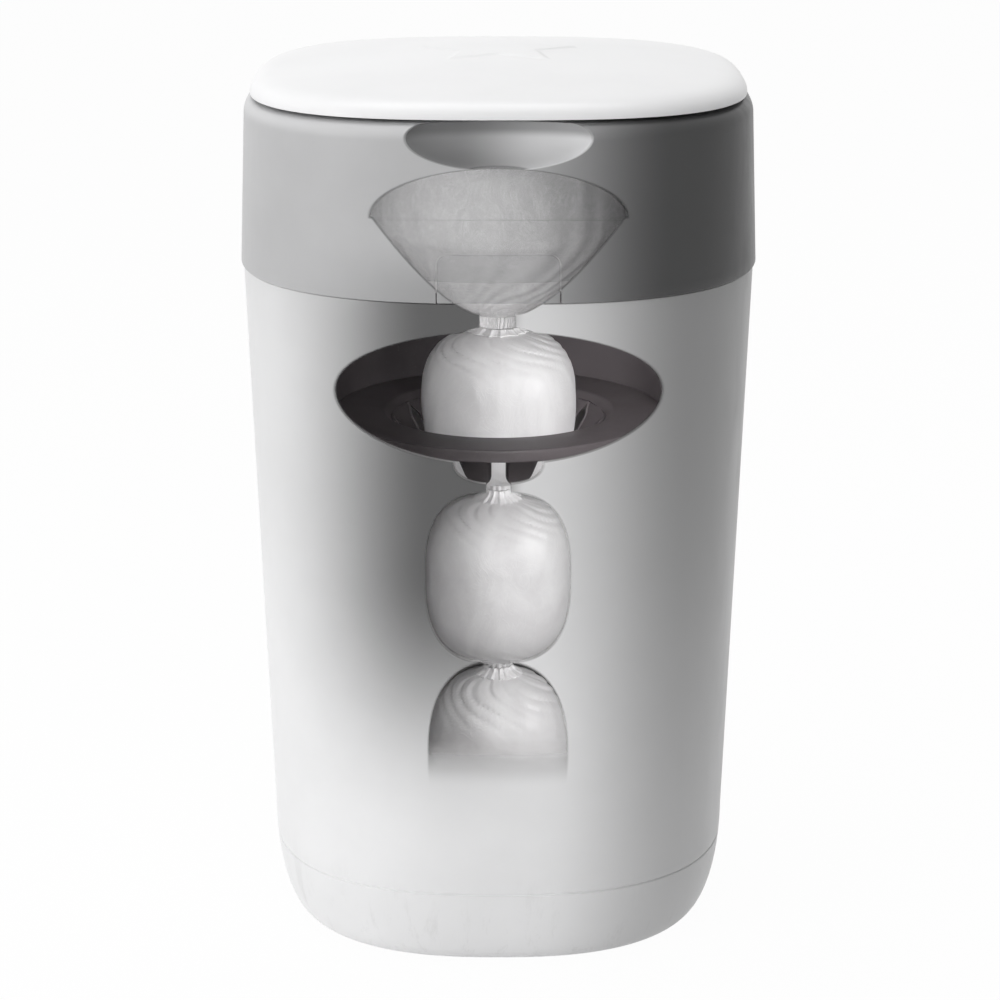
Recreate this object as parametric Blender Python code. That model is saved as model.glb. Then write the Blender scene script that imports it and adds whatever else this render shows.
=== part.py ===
"""Nappy bin with a tilting head, a twist ring over a film cassette, and a petal gripper that holds the film.

Metres, +Z up, front towards -Y. The origin is on the floor at the middle of the tub.
"""

import math

import bmesh
import bpy
from mathutils import Matrix, Vector

# Clearances that every fit shares
gap = 0.0003
running_gap = 0.0008
overrun = 0.002

# Facets round the moulded shells, round the turned pieces inside them, and round small pins
shell_steps = 40
turned_steps = 36
pin_steps = 10

# Plan shape: a rounded square, |x|^power + |y|^power = half^power
tub_power = 2.48
lid_power = 2.85
round_power = 2.0

# Half of the width across the collar, the size that the plan follows
collar_half = 0.1225

# Tub
tub_height = 0.3248
tub_inset = 0.0012
tub_top_half = collar_half - tub_inset
tub_taper = 0.0099
tub_low_half = tub_top_half - tub_taper
tub_wall = 0.0025
tub_floor = 0.0030
foot_rise = 0.0500
foot_inset = 0.0150
crease_height = 0.0370
crease_depth = 0.0007
crease_width = 0.0016

# Collar
collar_height = 0.0789
collar_draft = 0.0035
collar_wall = 0.0030
shoulder_width = 0.0060
shoulder_height = 0.0075
well_share = 0.81633
well_radius = collar_half * well_share
well_wall = 0.0020
collar_roof = 0.0025

# Finger scoop in the collar's front edge
scoop_share = 0.3347
scoop_half_width = collar_half * scoop_share
scoop_drop = 0.0057
scoop_height = 0.0141
scoop_depth = 0.0130
scoop_wall = 0.0018

# Rear hinge between tub and head
head_barrel_radius = 0.0040
head_pin_radius = 0.0015
head_axis_out = 0.0037
head_axis_rise = 0.0004
head_knuckle_half = 0.0190
tub_knuckle_length = 0.0140
head_lug_rise = 0.0075
tub_lug_drop = 0.0110

# Hinge between head and lid
lid_barrel_radius = 0.0032
lid_pin_radius = 0.0014
lid_axis_in = 0.0072
lid_axis_drop = 0.0045
lid_knuckle_half = 0.0220
lid_pin_grip = 0.0080
lid_knuckle_foot = 0.0040
hinge_block_wall = 0.0030

# Lid
lid_gap = 0.0018
lid_inset = 0.0062
lid_half = collar_half - lid_inset
lid_wall = 0.0022
lid_edge_width = 0.0130
lid_edge_height = 0.0085
lid_crown = 0.0076
lid_edge_turn = 72
lid_crown_shares = (0.62, 0.30)
liner_plate = 0.0030
seal_width = 0.0024
seal_offset = 0.0022
seal_radius = well_radius + seal_offset
seal_seat = 0.0013
liner_top_share = 0.980
star_share = 0.3475
star_radius = lid_half * star_share
star_inner_share = 0.48
star_rise = 0.0007

# Deck under the collar
deck_plate = 0.0030
deck_rise = 0.0049
ridge_height = 0.0040
ridge_width = 0.0025

# Screws between deck and collar
screw_circle_share = 0.9388
screw_circle = collar_half * screw_circle_share
screw_shank_radius = 0.0016
screw_shank_length = 0.0120
screw_head_radius = 0.0034
screw_head_height = 0.0020
screw_crown_share = 0.7
screw_boss_radius = 0.0050
screw_count = 4

# Plan of the twist ring, which the basket and the cassette follow
ring_clearance = 0.0010
ring_radius = well_radius - ring_clearance
ring_rim = 0.0118
ring_well_radius = ring_radius - ring_rim
mouth_share = 0.6263
tray_inner_radius = ring_radius * mouth_share

# Gripper basket under the deck
basket_share = 0.8303
basket_radius = ring_radius * basket_share
basket_wall = 0.0022
basket_flange = 0.0083
basket_rim_radius = basket_radius + basket_flange
basket_rim = 0.0022
basket_lip_width = 0.0027
basket_lip = 0.0020

# Gripper disc: a flat flange with a skirt, and petals that lean in
disc_radius = basket_radius - basket_wall - gap
disc_drop = 0.0780
disc_top = tub_height - disc_drop
disc_plate = 0.0022
disc_skirt = 0.0060
disc_skirt_wall = 0.0020
petal_root_share = 0.6775
petal_root_radius = disc_radius * petal_root_share
petal_tip_share = 0.4266
petal_tip_radius = disc_radius * petal_tip_share
petal_drop = 0.0298
petal_wall = 0.0018
petal_count = 12
slot_width_share = 0.1574
slot_width = petal_root_radius * slot_width_share
slot_top_drop = 0.0070
slot_points = 5
slot_first_share = 0.12
slot_span_share = 0.80

# Twist ring
ring_sink = 0.0089
ring_height = collar_height - ring_sink
ring_wall = 0.0025
ring_floor_height = 0.0077
ring_floor = 0.0020
floor_hole_offset = 0.0035
ring_floor_hole = tray_inner_radius + floor_hole_offset
rib_count = 12
rib_radius = 0.0013
rib_length = 0.0070

# Film cassette
tray_floor = 0.0020
tray_wall = 0.0018
tray_share = 0.5571
tray_outer_height = ring_height * tray_share
tray_inner_step = 0.0050
tray_inner_height = tray_outer_height - tray_inner_step
cap_plate = 0.0020
cap_offset = 0.0035
cap_inner_radius = tray_inner_radius + cap_offset
cap_lip = 0.0028
cap_lip_width = 0.0015
film_space = 0.0008

# Film funnel and necks
film_wall = 0.0010
funnel_rim_rise = 0.0020
funnel_turn_rise = 0.0007
funnel_neck_length = 0.0055
neck_radius = 0.0069
upper_neck_radius = 0.0100
funnel_rings = 5
funnel_curve_power = 1.45
funnel_spacing_power = 1.4

# Wrapped nappies, from the top of the chain to the tub's floor
film_steps = 24
nappy_rings = 9
nappy_pleats = 6
nappy_pleat_share = 0.025
nappy_shape_power = 3.0
nappy_end = 0.0040
nappy_shoulder = 0.0048
nappy_1_share = 0.474
nappy_1_radius = disc_radius * nappy_1_share
nappy_1_rise = 0.0392
nappy_1_body_top = disc_top + nappy_1_rise
nappy_1_drop = 0.0360
nappy_1_body_bottom = disc_top - nappy_1_drop
nappy_1_tip = 0.0040
nappy_1_bottom = nappy_1_body_bottom - nappy_1_tip
nappy_2_share = 0.4555
nappy_2_radius = disc_radius * nappy_2_share
nappy_2_body_top = nappy_1_bottom - nappy_shoulder
nappy_3_share = 0.448
nappy_3_radius = disc_radius * nappy_3_share
nappy_3_height_share = 0.55
nappy_3_body_top = nappy_2_body_top * nappy_3_height_share
nappy_2_bottom = nappy_3_body_top + nappy_end
nappy_2_body_bottom = nappy_2_bottom + nappy_end
funnel_top_gap = 0.0025
funnel_bottom = nappy_1_body_top + funnel_top_gap
funnel_neck_height = funnel_bottom + funnel_neck_length

# Release tab, its hook and its spring
tab_half_width = 0.0273
tab_height = 0.0216
tab_corner = 0.0050
tab_gap = 0.0005
tab_travel = 0.0030
tab_room = 0.0010
arm_half_width = 0.0100
arm_wall = 0.0030
arm_offset = 0.0050
arm_rise = 0.0050
hook_drop = 0.0160
hook_nose = 0.0008
hook_nose_height = 0.0025
spring_radius = 0.0036
spring_wire = 0.0005
spring_turns = 5
spring_turn_points = 8
spring_height = 0.0150
spigot_radius = 0.0022
spigot_length = 0.0030

# Catch on the tub's front wall
striker_half_width = 0.0120
striker_height = 0.0045
striker_depth = 0.0024
striker_above_hook = 0.0012

# Film cutter on the twist ring
cutter_width = 0.0080
cutter_stem_width = 0.0044
cutter_stem_length = 0.0040
cutter_stem_offset = 0.0010
cutter_head_length = 0.0085
cutter_head_height = 0.0026
cutter_slot_depth = 0.0115
cutter_slot_length = 0.0060
blade_thickness = 0.0006
blade_reach = 0.0130
blade_height = 0.0060
blade_grip = 0.0020

# Heights that several pieces share
collar_bottom = tub_height + gap
collar_top = collar_bottom + collar_height
deck_top = collar_bottom + deck_rise
deck_bottom = deck_top - deck_plate
well_bottom = deck_top + gap
lid_bottom = collar_top + lid_gap
lid_top = lid_bottom + lid_edge_height + lid_crown
ring_bottom = deck_top + gap
ring_top = ring_bottom + ring_height
ring_seat = ring_bottom + ring_floor_height + ring_floor
tray_bottom = ring_seat + gap
tray_top = tray_bottom + tray_outer_height
funnel_turn_height = tray_bottom + funnel_turn_rise
disc_lip_top = disc_top - disc_skirt - gap
head_axis_y = collar_half + head_axis_out
head_axis_z = collar_bottom + head_axis_rise
lid_axis_y = collar_half - lid_axis_in
lid_axis_z = collar_top - lid_axis_drop


def clear_scene():
    for old in list(bpy.data.objects):
        bpy.data.objects.remove(old, do_unlink=True)


def make_material(name, colour, roughness, metallic=0.0):
    material = bpy.data.materials.new(name)
    material.use_nodes = True
    shader = material.node_tree.nodes["Principled BSDF"]
    shader.inputs["Base Color"].default_value = (*colour, 1.0)
    shader.inputs["Roughness"].default_value = roughness
    shader.inputs["Metallic"].default_value = metallic
    return material


def make_object(name, mesh_data, material=None):
    """Turns a bmesh into a smooth-shaded object with its creases kept sharp."""
    bmesh.ops.recalc_face_normals(mesh_data, faces=mesh_data.faces)
    mesh = bpy.data.meshes.new(name)
    mesh_data.to_mesh(mesh)
    mesh_data.free()
    mesh.shade_smooth()
    mesh.set_sharp_from_angle(angle=math.radians(35))
    piece = bpy.data.objects.new(name, mesh)
    bpy.context.scene.collection.objects.link(piece)
    if material:
        mesh.materials.append(material)
    return piece


def combine(piece, tool, operation):
    """Cuts the tool from the piece, or joins or intersects them, and hides the tool."""
    tool.hide_render = True
    tool.display_type = "WIRE"
    modifier = piece.modifiers.new(tool.name, "BOOLEAN")
    modifier.operation = operation
    modifier.object = tool
    modifier.solver = "EXACT"


def plan_ring(mesh_data, half, height, power, steps):
    """One ring of the plan shape, or a single point on the axis."""
    if half <= 0:
        return [mesh_data.verts.new((0, 0, height))]
    ring = []
    for step in range(steps):
        angle = 2 * math.pi * step / steps
        across = math.copysign(abs(math.cos(angle)) ** (2 / power), math.cos(angle))
        along = math.copysign(abs(math.sin(angle)) ** (2 / power), math.sin(angle))
        ring.append(mesh_data.verts.new((half * across, half * along, height)))
    return ring


def bridge(mesh_data, first, second):
    """Faces between two neighbouring rings, either of which may be a point."""
    count = max(len(first), len(second))
    for step in range(count):
        corners = []
        for ring, index in ((first, step), (first, step + 1), (second, step + 1), (second, step)):
            vertex = ring[index % len(ring)]
            if vertex not in corners:
                corners.append(vertex)
        if len(corners) > 2:
            mesh_data.faces.new(corners)


def loft(name, rows, material=None, steps=turned_steps, power=round_power):
    """A solid through rings of (half, height) or (half, height, power), closed on the axis or on itself."""
    mesh_data = bmesh.new()
    rings = []
    for row in rows:
        row_power = row[2] if len(row) > 2 else power
        rings.append(plan_ring(mesh_data, row[0], row[1], row_power, steps))
    for first, second in zip(rings, rings[1:]):
        bridge(mesh_data, first, second)
    if rows[0][0] > 0:
        bridge(mesh_data, rings[-1], rings[0])
    return make_object(name, mesh_data, material)


def prism(name, outline, start, end, axis, material=None):
    """An outline extruded along an axis: (y, z) pairs along X, (x, z) along Y, (x, y) along Z."""
    mesh_data = bmesh.new()
    place = {
        "X": lambda point, depth: (depth, point[0], point[1]),
        "Y": lambda point, depth: (point[0], depth, point[1]),
        "Z": lambda point, depth: (point[0], point[1], depth),
    }[axis]
    near = [mesh_data.verts.new(place(point, start)) for point in outline]
    far = [mesh_data.verts.new(place(point, end)) for point in outline]
    mesh_data.faces.new(near)
    mesh_data.faces.new(far)
    bridge(mesh_data, near, far)
    return make_object(name, mesh_data, material)


def rectangle(low, high):
    return [(low[0], low[1]), (high[0], low[1]), (high[0], high[1]), (low[0], high[1])]


def arc(centre, radius, first_degrees, last_degrees, count):
    """Points of a round or elliptical stretch, ends included."""
    wide, high = radius if isinstance(radius, tuple) else (radius, radius)
    points = []
    for step in range(count + 1):
        angle = math.radians(first_degrees + (last_degrees - first_degrees) * step / count)
        points.append((centre[0] + wide * math.cos(angle), centre[1] + high * math.sin(angle)))
    return points


def rod(name, centre, radius, start, end, axis, material=None, steps=pin_steps):
    whole_turn = arc(centre, radius, 0, 360, steps)[:-1]
    return prism(name, whole_turn, start, end, axis, material)


def ellipsoid(name, centre, radii, steps):
    """A unit ball that its named radii scale."""
    mesh_data = bmesh.new()
    place = Matrix.Translation(centre) @ Matrix.Diagonal((*radii, 1))
    bmesh.ops.create_uvsphere(mesh_data, u_segments=steps, v_segments=steps // 2, radius=1, matrix=place)
    return make_object(name, mesh_data)


def joined(name, meshes):
    """One mesh made of several separate ones, for a cutter or a set of ribs."""
    mesh_data = bmesh.new()
    for piece in meshes:
        mesh_data.from_mesh(piece.data)
        bpy.data.objects.remove(piece, do_unlink=True)
    return make_object(name, mesh_data)


def turned_copies(name, piece, count, first_degrees=0):
    """The piece repeated about the Z axis, as one mesh."""
    mesh_data = bmesh.new()
    for index in range(count):
        mesh = piece.data.copy()
        turn = math.radians(first_degrees) + 2 * math.pi * index / count
        mesh.transform(Matrix.Rotation(turn, 4, "Z"))
        mesh_data.from_mesh(mesh)
        bpy.data.meshes.remove(mesh)
    bpy.data.objects.remove(piece, do_unlink=True)
    return make_object(name, mesh_data)


def hang_from(piece, pivot):
    """Puts the piece under an empty on its joint's axis and keeps it where it is."""
    piece.parent = pivot
    piece.matrix_parent_inverse = pivot.matrix_world.inverted()


def make_pivot(name, place, parent=None):
    pivot = bpy.data.objects.new(name, None)
    pivot.empty_display_size = head_barrel_radius
    bpy.context.scene.collection.objects.link(pivot)
    pivot.location = place
    if parent:
        pivot.parent = parent
        pivot.location = Vector(place) - Vector(parent_place(parent))
    bpy.context.view_layer.update()
    return pivot


def parent_place(pivot):
    place = Vector(pivot.location)
    while pivot.parent:
        pivot = pivot.parent
        place += Vector(pivot.location)
    return place


def tub_half(height):
    """Half the tub's width at a height above its foot curve."""
    slope = (tub_top_half - tub_low_half) / (tub_height - foot_rise)
    return tub_low_half + slope * (height - foot_rise)


def foot_half(height):
    """Half the tub's width in the round of its foot."""
    return tub_low_half - foot_inset * (1 - math.sqrt(1 - (1 - height / foot_rise) ** 2))


def collar_outer(height):
    return collar_half - collar_draft * (height - collar_bottom) / collar_height


def collar_power(height):
    """The plan squares up from the tub's roundness to the lid's."""
    return tub_power + (lid_power - tub_power) * (height - collar_bottom) / collar_height


def front_of(half, power, across):
    """How far a shell's flat front facets reach, at a distance across from their middle vertex."""
    turn = 2 * math.pi / shell_steps
    facet_across = half * math.sin(turn) ** (2 / power)
    facet_reach = half * math.cos(turn) ** (2 / power)
    return half - (half - facet_reach) * across / facet_across


def petal_radius(height):
    """Inner face of the petals' cone."""
    share = (disc_top - height) / petal_drop
    return petal_root_radius - (petal_root_radius - petal_tip_radius) * share


def tub_rows():
    """From the underside's middle, up the outside, over the rim and down the inside."""
    foot_centre = (tub_low_half - foot_inset, foot_rise)
    foot = arc(foot_centre, (foot_inset, foot_rise), -90, -22, 5)
    crease_top = crease_height + crease_width
    crease = (
        (foot_half(crease_height), crease_height),
        (foot_half(crease_height) - crease_depth, crease_height + crease_width / 2),
        (foot_half(crease_top), crease_top),
    )
    outside = [*foot, *crease, (tub_low_half, foot_rise)]
    inner_radii = (foot_inset - tub_wall / 2, foot_rise - tub_floor)
    inner_centre = (tub_low_half - tub_wall - inner_radii[0], foot_rise)
    inside = arc(inner_centre, inner_radii, 0, -90, 4)
    rim = ((tub_top_half, tub_height), (tub_top_half - tub_wall, tub_height))
    return [(0, 0), *outside, *rim, *inside, (0, tub_floor)]


def head_knuckle_arc(first_degrees, last_degrees):
    return arc((head_axis_y, head_axis_z), head_barrel_radius, first_degrees, last_degrees, 12)


def make_tub(material):
    tub = loft("tub", tub_rows(), material, shell_steps, tub_power)
    root = tub_top_half - tub_wall / 2
    outline = [
        (root, tub_height - tub_lug_drop),
        *head_knuckle_arc(-90, 180),
        (head_axis_y - head_barrel_radius, tub_height),
        (root, tub_height),
    ]
    inner = head_knuckle_half + gap
    for side, name in ((1, "tub_knuckle_right"), (-1, "tub_knuckle_left")):
        ends = sorted((side * inner, side * (inner + tub_knuckle_length)))
        combine(tub, prism(name, outline, ends[0], ends[1], "X"), "UNION")
    bore = (head_axis_y, head_axis_z)
    reach = inner + tub_knuckle_length + overrun
    combine(tub, rod("tub_pin_bore", bore, head_pin_radius + gap, -reach, reach, "X"), "DIFFERENCE")
    return tub


def make_head_pin(material):
    reach = head_knuckle_half + tub_knuckle_length
    place = (head_axis_y, head_axis_z)
    return rod("head_hinge_pin", place, head_pin_radius, -reach, reach, "X", material)


def hook_front():
    return tub_half(tub_height) - tub_wall - arm_offset + hook_nose


def make_striker(material):
    top = tub_height - hook_drop + hook_nose_height + striker_above_hook + striker_height
    wall = front_of(tub_half(top - striker_height) - tub_wall, tub_power, striker_half_width) - gap
    face = wall - striker_depth
    outline = [
        (-wall, top - striker_height),
        (-face, top - striker_height),
        (-face, top - striker_height / 2),
        (-wall, top),
    ]
    return prism("latch_striker", outline, -striker_half_width, striker_half_width, "X", material)


def collar_rows():
    """The collar as a thick ring: outside, shoulder, roof, well, and the underside that the deck closes."""
    shoulder_base = collar_top - shoulder_height
    crown_centre = (collar_outer(shoulder_base) - shoulder_width, shoulder_base)
    crown = arc(crown_centre, (shoulder_width, shoulder_height), 0, 90, 4)
    inner = collar_half - collar_wall
    rows = [
        (inner, collar_bottom, tub_power),
        (collar_half, collar_bottom, tub_power),
        *((half, height, collar_power(height)) for half, height in crown),
        (well_radius, collar_top, round_power),
        (well_radius, well_bottom, round_power),
        (inner, well_bottom, tub_power),
    ]
    return rows


def collar_cavity():
    """The hollow between the collar's outer wall and its well, kept clear of the scoop, hinge and screws."""
    top = collar_top - collar_roof
    base = well_bottom - overrun
    rows = [
        (well_radius + well_wall, base, round_power),
        (well_radius + well_wall, top, round_power),
        (collar_outer(top) - shoulder_width, top, collar_power(top)),
        (collar_outer(top - shoulder_height) - collar_wall, top - shoulder_height, collar_power(top)),
        (collar_outer(base) - collar_wall, base, collar_power(base)),
    ]
    cavity = loft("collar_cavity", rows, None, shell_steps)
    scoop_radii = tuple(radius + scoop_wall for radius in (scoop_half_width, scoop_depth, scoop_height))
    combine(cavity, ellipsoid("scoop_pocket", scoop_centre(), scoop_radii, 20), "DIFFERENCE")
    reach = lid_knuckle_half + lid_pin_grip + hinge_block_wall
    block_low = (notch_front() - hinge_block_wall, notch_floor() - hinge_block_wall)
    block_high = (collar_half + overrun, collar_top + overrun)
    block = prism("hinge_block", rectangle(block_low, block_high), -reach, reach, "X")
    combine(cavity, block, "DIFFERENCE")
    bosses = []
    for place in screw_places():
        boss = rod("boss", place, screw_boss_radius, base - overrun, top + overrun, "Z", steps=12)
        bosses.append(boss)
    combine(cavity, joined("screw_bosses", bosses), "DIFFERENCE")
    return cavity


def scoop_centre():
    return (0, -collar_outer(collar_top), collar_top - scoop_drop)


def notch_front():
    return lid_axis_y - lid_barrel_radius - running_gap - gap


def notch_floor():
    return lid_axis_z - lid_barrel_radius - running_gap


def screw_places():
    places = []
    for index in range(screw_count):
        angle = math.pi / 4 + 2 * math.pi * index / screw_count
        places.append((screw_circle * math.cos(angle), screw_circle * math.sin(angle)))
    return places


def tab_outline(grown):
    """The tab's face as (x, z), open at the collar's lower edge, grown by a clearance."""
    across = tab_half_width + grown
    top = collar_bottom + tab_height + grown
    low = collar_bottom - overrun if grown else collar_bottom + gap
    corner = tab_corner
    right = arc((across - corner, top - corner), corner, 0, 90, 4)
    left = arc((corner - across, top - corner), corner, 90, 180, 4)
    return [(across, low), *right, *left, (-across, low)]


def make_collar(material):
    collar = loft("collar", collar_rows(), material, shell_steps)
    combine(collar, collar_cavity(), "DIFFERENCE")
    root = collar_half - collar_wall / 2
    outline = [
        (root, head_axis_z),
        *head_knuckle_arc(180, 450),
        (root, head_axis_z + head_lug_rise),
    ]
    knuckle = prism("head_knuckle", outline, -head_knuckle_half, head_knuckle_half, "X")
    combine(collar, knuckle, "UNION")
    scoop_radii = (scoop_half_width, scoop_depth, scoop_height)
    combine(collar, ellipsoid("scoop", scoop_centre(), scoop_radii, 24), "DIFFERENCE")
    notch_low = (notch_front(), notch_floor())
    notch_high = (collar_half + overrun, collar_top + overrun)
    half = lid_knuckle_half + gap
    combine(collar, prism("lid_notch", rectangle(notch_low, notch_high), -half, half, "X"), "DIFFERENCE")
    reach = lid_knuckle_half + lid_pin_grip + gap
    lid_bore = rod("lid_pin_bore", (lid_axis_y, lid_axis_z), lid_pin_radius + gap, -reach, reach, "X")
    combine(collar, lid_bore, "DIFFERENCE")
    combine(collar, head_pin_cutter(), "DIFFERENCE")
    screws = []
    for place in screw_places():
        base = well_bottom - overrun
        top = deck_bottom + screw_shank_length + gap
        screws.append(rod("bore", place, screw_shank_radius + gap, base, top, "Z"))
    combine(collar, joined("collar_screw_bores", screws), "DIFFERENCE")
    back = -(collar_half - collar_wall - overrun)
    tab_hole = prism("tab_hole", tab_outline(tab_gap), -(collar_half + overrun), back, "Y")
    combine(collar, tab_hole, "DIFFERENCE")
    spigot_root = -(well_radius + gap)
    spigot = rod("spring_spigot", (0, spring_axis_z()), spigot_radius, spigot_front(), spigot_root, "Y")
    combine(collar, spigot, "UNION")
    return collar


def head_pin_cutter():
    """The head's own pin bore, and room for the tub's two barrels beside its knuckle."""
    inner = head_knuckle_half + gap / 2
    outer = head_knuckle_half + tub_knuckle_length + running_gap
    place = (head_axis_y, head_axis_z)
    pin = rod("pin_room", place, head_pin_radius + gap, -outer, outer, "X")
    wide = head_barrel_radius + running_gap
    right = rod("right_room", place, wide, inner, outer, "X", steps=16)
    left = rod("left_room", place, wide, -outer, -inner, "X", steps=16)
    rooms = joined("barrel_room", [right, left])
    combine(rooms, pin, "UNION")
    return rooms


def spring_axis_z():
    return collar_bottom + spring_height


def spigot_front():
    return -(well_radius + well_wall + spigot_length)


def deck_half():
    return collar_outer(deck_top) - collar_wall - gap


def make_deck(material):
    hole = basket_radius + gap
    ridge_out = ring_radius - ring_wall - running_gap
    ridge_in = ridge_out - ridge_width
    rows = [
        (deck_half(), deck_bottom, tub_power),
        (deck_half(), deck_top, tub_power),
        (ridge_out, deck_top, round_power),
        (ridge_out, deck_top + ridge_height, round_power),
        (ridge_in, deck_top + ridge_height, round_power),
        (ridge_in, deck_top, round_power),
        (hole, deck_top, round_power),
        (hole, deck_bottom, round_power),
    ]
    deck = loft("deck", rows, material, shell_steps)
    across = tab_half_width + tab_gap + running_gap
    notch_low = (-across, -(deck_half() + overrun))
    notch_high = (across, -(arm_back() - tab_travel - tab_room))
    base = deck_bottom - overrun
    notch = prism("tab_notch", rectangle(notch_low, notch_high), base, deck_top + overrun, "Z")
    combine(deck, notch, "DIFFERENCE")
    bores = []
    for place in screw_places():
        bores.append(rod("bore", place, screw_shank_radius + gap, base, deck_top + overrun, "Z"))
    combine(deck, joined("deck_screw_bores", bores), "DIFFERENCE")
    return deck


def make_screws(material):
    screws = []
    for index, place in enumerate(screw_places()):
        head_top = deck_bottom - gap
        rows = [
            (0, head_top - screw_head_height),
            (screw_head_radius * screw_crown_share, head_top - screw_head_height),
            (screw_head_radius, head_top - screw_head_height / 2),
            (screw_head_radius, head_top),
            (screw_shank_radius, head_top),
            (screw_shank_radius, head_top + screw_shank_length),
            (0, head_top + screw_shank_length),
        ]
        screw = loft(f"deck_screw_{index + 1}", rows, material, pin_steps)
        screw.location = (place[0], place[1], 0)
        screws.append(screw)
    return screws


def make_basket(material):
    rim_top = deck_top + gap + basket_rim
    bore = basket_radius - basket_wall
    lip = bore - basket_lip_width
    lip_base = disc_lip_top - basket_lip
    rows = [
        (basket_rim_radius, rim_top),
        (basket_rim_radius, deck_top + gap),
        (basket_radius, deck_top + gap),
        (basket_radius, lip_base),
        (lip, lip_base),
        (lip, disc_lip_top),
        (bore, disc_lip_top),
        (bore, rim_top),
    ]
    return loft("gripper_basket", rows, material)


def slot_outline():
    """A leaf as (y, z): narrow high on the petals' cone, widest below its middle, open at the tips."""
    top = disc_top - slot_top_drop
    base = disc_top - petal_drop - overrun
    right = []
    for step in range(slot_points + 1):
        share = step / slot_points
        width = slot_width / 2 * math.sin(math.pi * (slot_first_share + slot_span_share * share))
        right.append((width, top + (base - top) * share))
    left = [(-width, height) for width, height in reversed(right)]
    crown = top + slot_width / 4
    return [(slot_width / 8, crown), *right, *left, (-slot_width / 8, crown)]


def make_disc(material):
    tip_z = disc_top - petal_drop
    skirt_in = disc_radius - disc_skirt_wall
    under = disc_top - disc_plate
    lean = petal_wall * petal_drop / (petal_root_radius - petal_tip_radius)
    rows = [
        (disc_radius, disc_top),
        (disc_radius, disc_top - disc_skirt),
        (skirt_in, disc_top - disc_skirt),
        (skirt_in, under),
        (petal_root_radius, under),
        (petal_radius(tip_z + lean / 2) + petal_wall / 2, tip_z + petal_wall / 2),
        (petal_tip_radius + petal_wall / 2, tip_z),
        (petal_tip_radius, tip_z + petal_wall / 2),
        (petal_root_radius - petal_wall, disc_top - petal_wall),
        (petal_root_radius + petal_wall, disc_top),
    ]
    disc = loft("gripper_disc", rows, material)
    slot = prism("slot", slot_outline(), petal_tip_radius / 2, petal_root_radius, "X")
    slots = turned_copies("petal_slots", slot, petal_count)
    combine(disc, slots, "DIFFERENCE")
    return disc


def rounded_width(share):
    """A wrapped nappy's width along its height, as a share of its full width."""
    return (1 - abs(2 * share - 1) ** nappy_shape_power) ** (1 / nappy_shape_power)


def make_nappy(name, radius, body, ends, material, limit=None, top_neck=neck_radius):
    """A pleated sack between two heights, with a twisted neck at each end that isn't None."""
    low, high = body
    neck = neck_radius
    rows = [(0, ends[0] if ends[0] is not None else low)]
    if ends[0] is not None:
        rows.append((neck, ends[0]))
    for step in range(nappy_rings):
        share = (1 - math.cos(math.pi * (step + 0.5) / nappy_rings)) / 2
        height = low + (high - low) * share
        width = max(neck, radius * rounded_width(share))
        if limit:
            width = min(width, limit(height))
        rows.append((width, height))
    if ends[1] is not None:
        rows.append((top_neck, ends[1]))
    rows.append((0, ends[1] if ends[1] is not None else high))
    nappy = loft(name, rows, material, film_steps)
    for vertex in nappy.data.vertices:
        place = vertex.co
        reach = math.hypot(place.x, place.y)
        if reach > neck + gap:
            angle = math.atan2(place.y, place.x)
            fold = 1 - nappy_pleat_share * (1 + math.cos(nappy_pleats * angle))
            place.x *= fold
            place.y *= fold
    return nappy


def claw_limit(height):
    return petal_radius(height) - petal_wall - gap if height < disc_top else nappy_1_radius


def make_nappies(material):
    neck_top = funnel_bottom - gap
    first = make_nappy(
        "wrapped_nappy_1",
        nappy_1_radius,
        (nappy_1_body_bottom, nappy_1_body_top),
        (nappy_1_bottom, neck_top),
        material,
        claw_limit,
        upper_neck_radius,
    )
    second = make_nappy(
        "wrapped_nappy_2",
        nappy_2_radius,
        (nappy_2_body_bottom, nappy_2_body_top),
        (nappy_2_bottom, nappy_1_bottom - gap),
        material,
    )
    third = make_nappy(
        "wrapped_nappy_3",
        nappy_3_radius,
        (tub_floor + gap, nappy_3_body_top),
        (None, nappy_2_bottom - gap),
        material,
    )
    return first, second, third


def make_ring(material):
    inner_wall = ring_well_radius + ring_wall
    under = ring_bottom + ring_floor_height
    rows = [
        (ring_radius, ring_top),
        (ring_radius, ring_bottom),
        (ring_radius - ring_wall, ring_bottom),
        (ring_radius - ring_wall, ring_top - ring_wall),
        (inner_wall, ring_top - ring_wall),
        (inner_wall, under),
        (ring_floor_hole, under),
        (ring_floor_hole, ring_seat),
        (ring_well_radius, ring_seat),
        (ring_well_radius, ring_top),
    ]
    ring = loft("twist_ring", rows, material)
    middle = (ring_radius + ring_well_radius) / 2
    rib = rod(
        "rib", (0, ring_top), rib_radius, middle - rib_length / 2, middle + rib_length / 2, "X", steps=8
    )
    combine(ring, turned_copies("thumb_ribs", rib, rib_count, 180 / rib_count), "UNION")
    half = cutter_stem_width / 2 + gap
    slot_end = ring_well_radius + cutter_slot_length
    low = (ring_well_radius - overrun, ring_top - cutter_slot_depth)
    high = (slot_end, ring_top + overrun)
    combine(ring, prism("cutter_slot", rectangle(low, high), -half, half, "X"), "DIFFERENCE")
    return ring


def make_tray(material):
    outer = ring_well_radius - gap
    floor_top = tray_bottom + tray_floor
    rows = [
        (outer, tray_top),
        (outer, tray_bottom),
        (tray_inner_radius, tray_bottom),
        (tray_inner_radius, tray_bottom + tray_inner_height),
        (tray_inner_radius + tray_wall, tray_bottom + tray_inner_height),
        (tray_inner_radius + tray_wall, floor_top),
        (outer - tray_wall, floor_top),
        (outer - tray_wall, tray_top),
    ]
    return loft("cassette_tray", rows, material)


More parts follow.
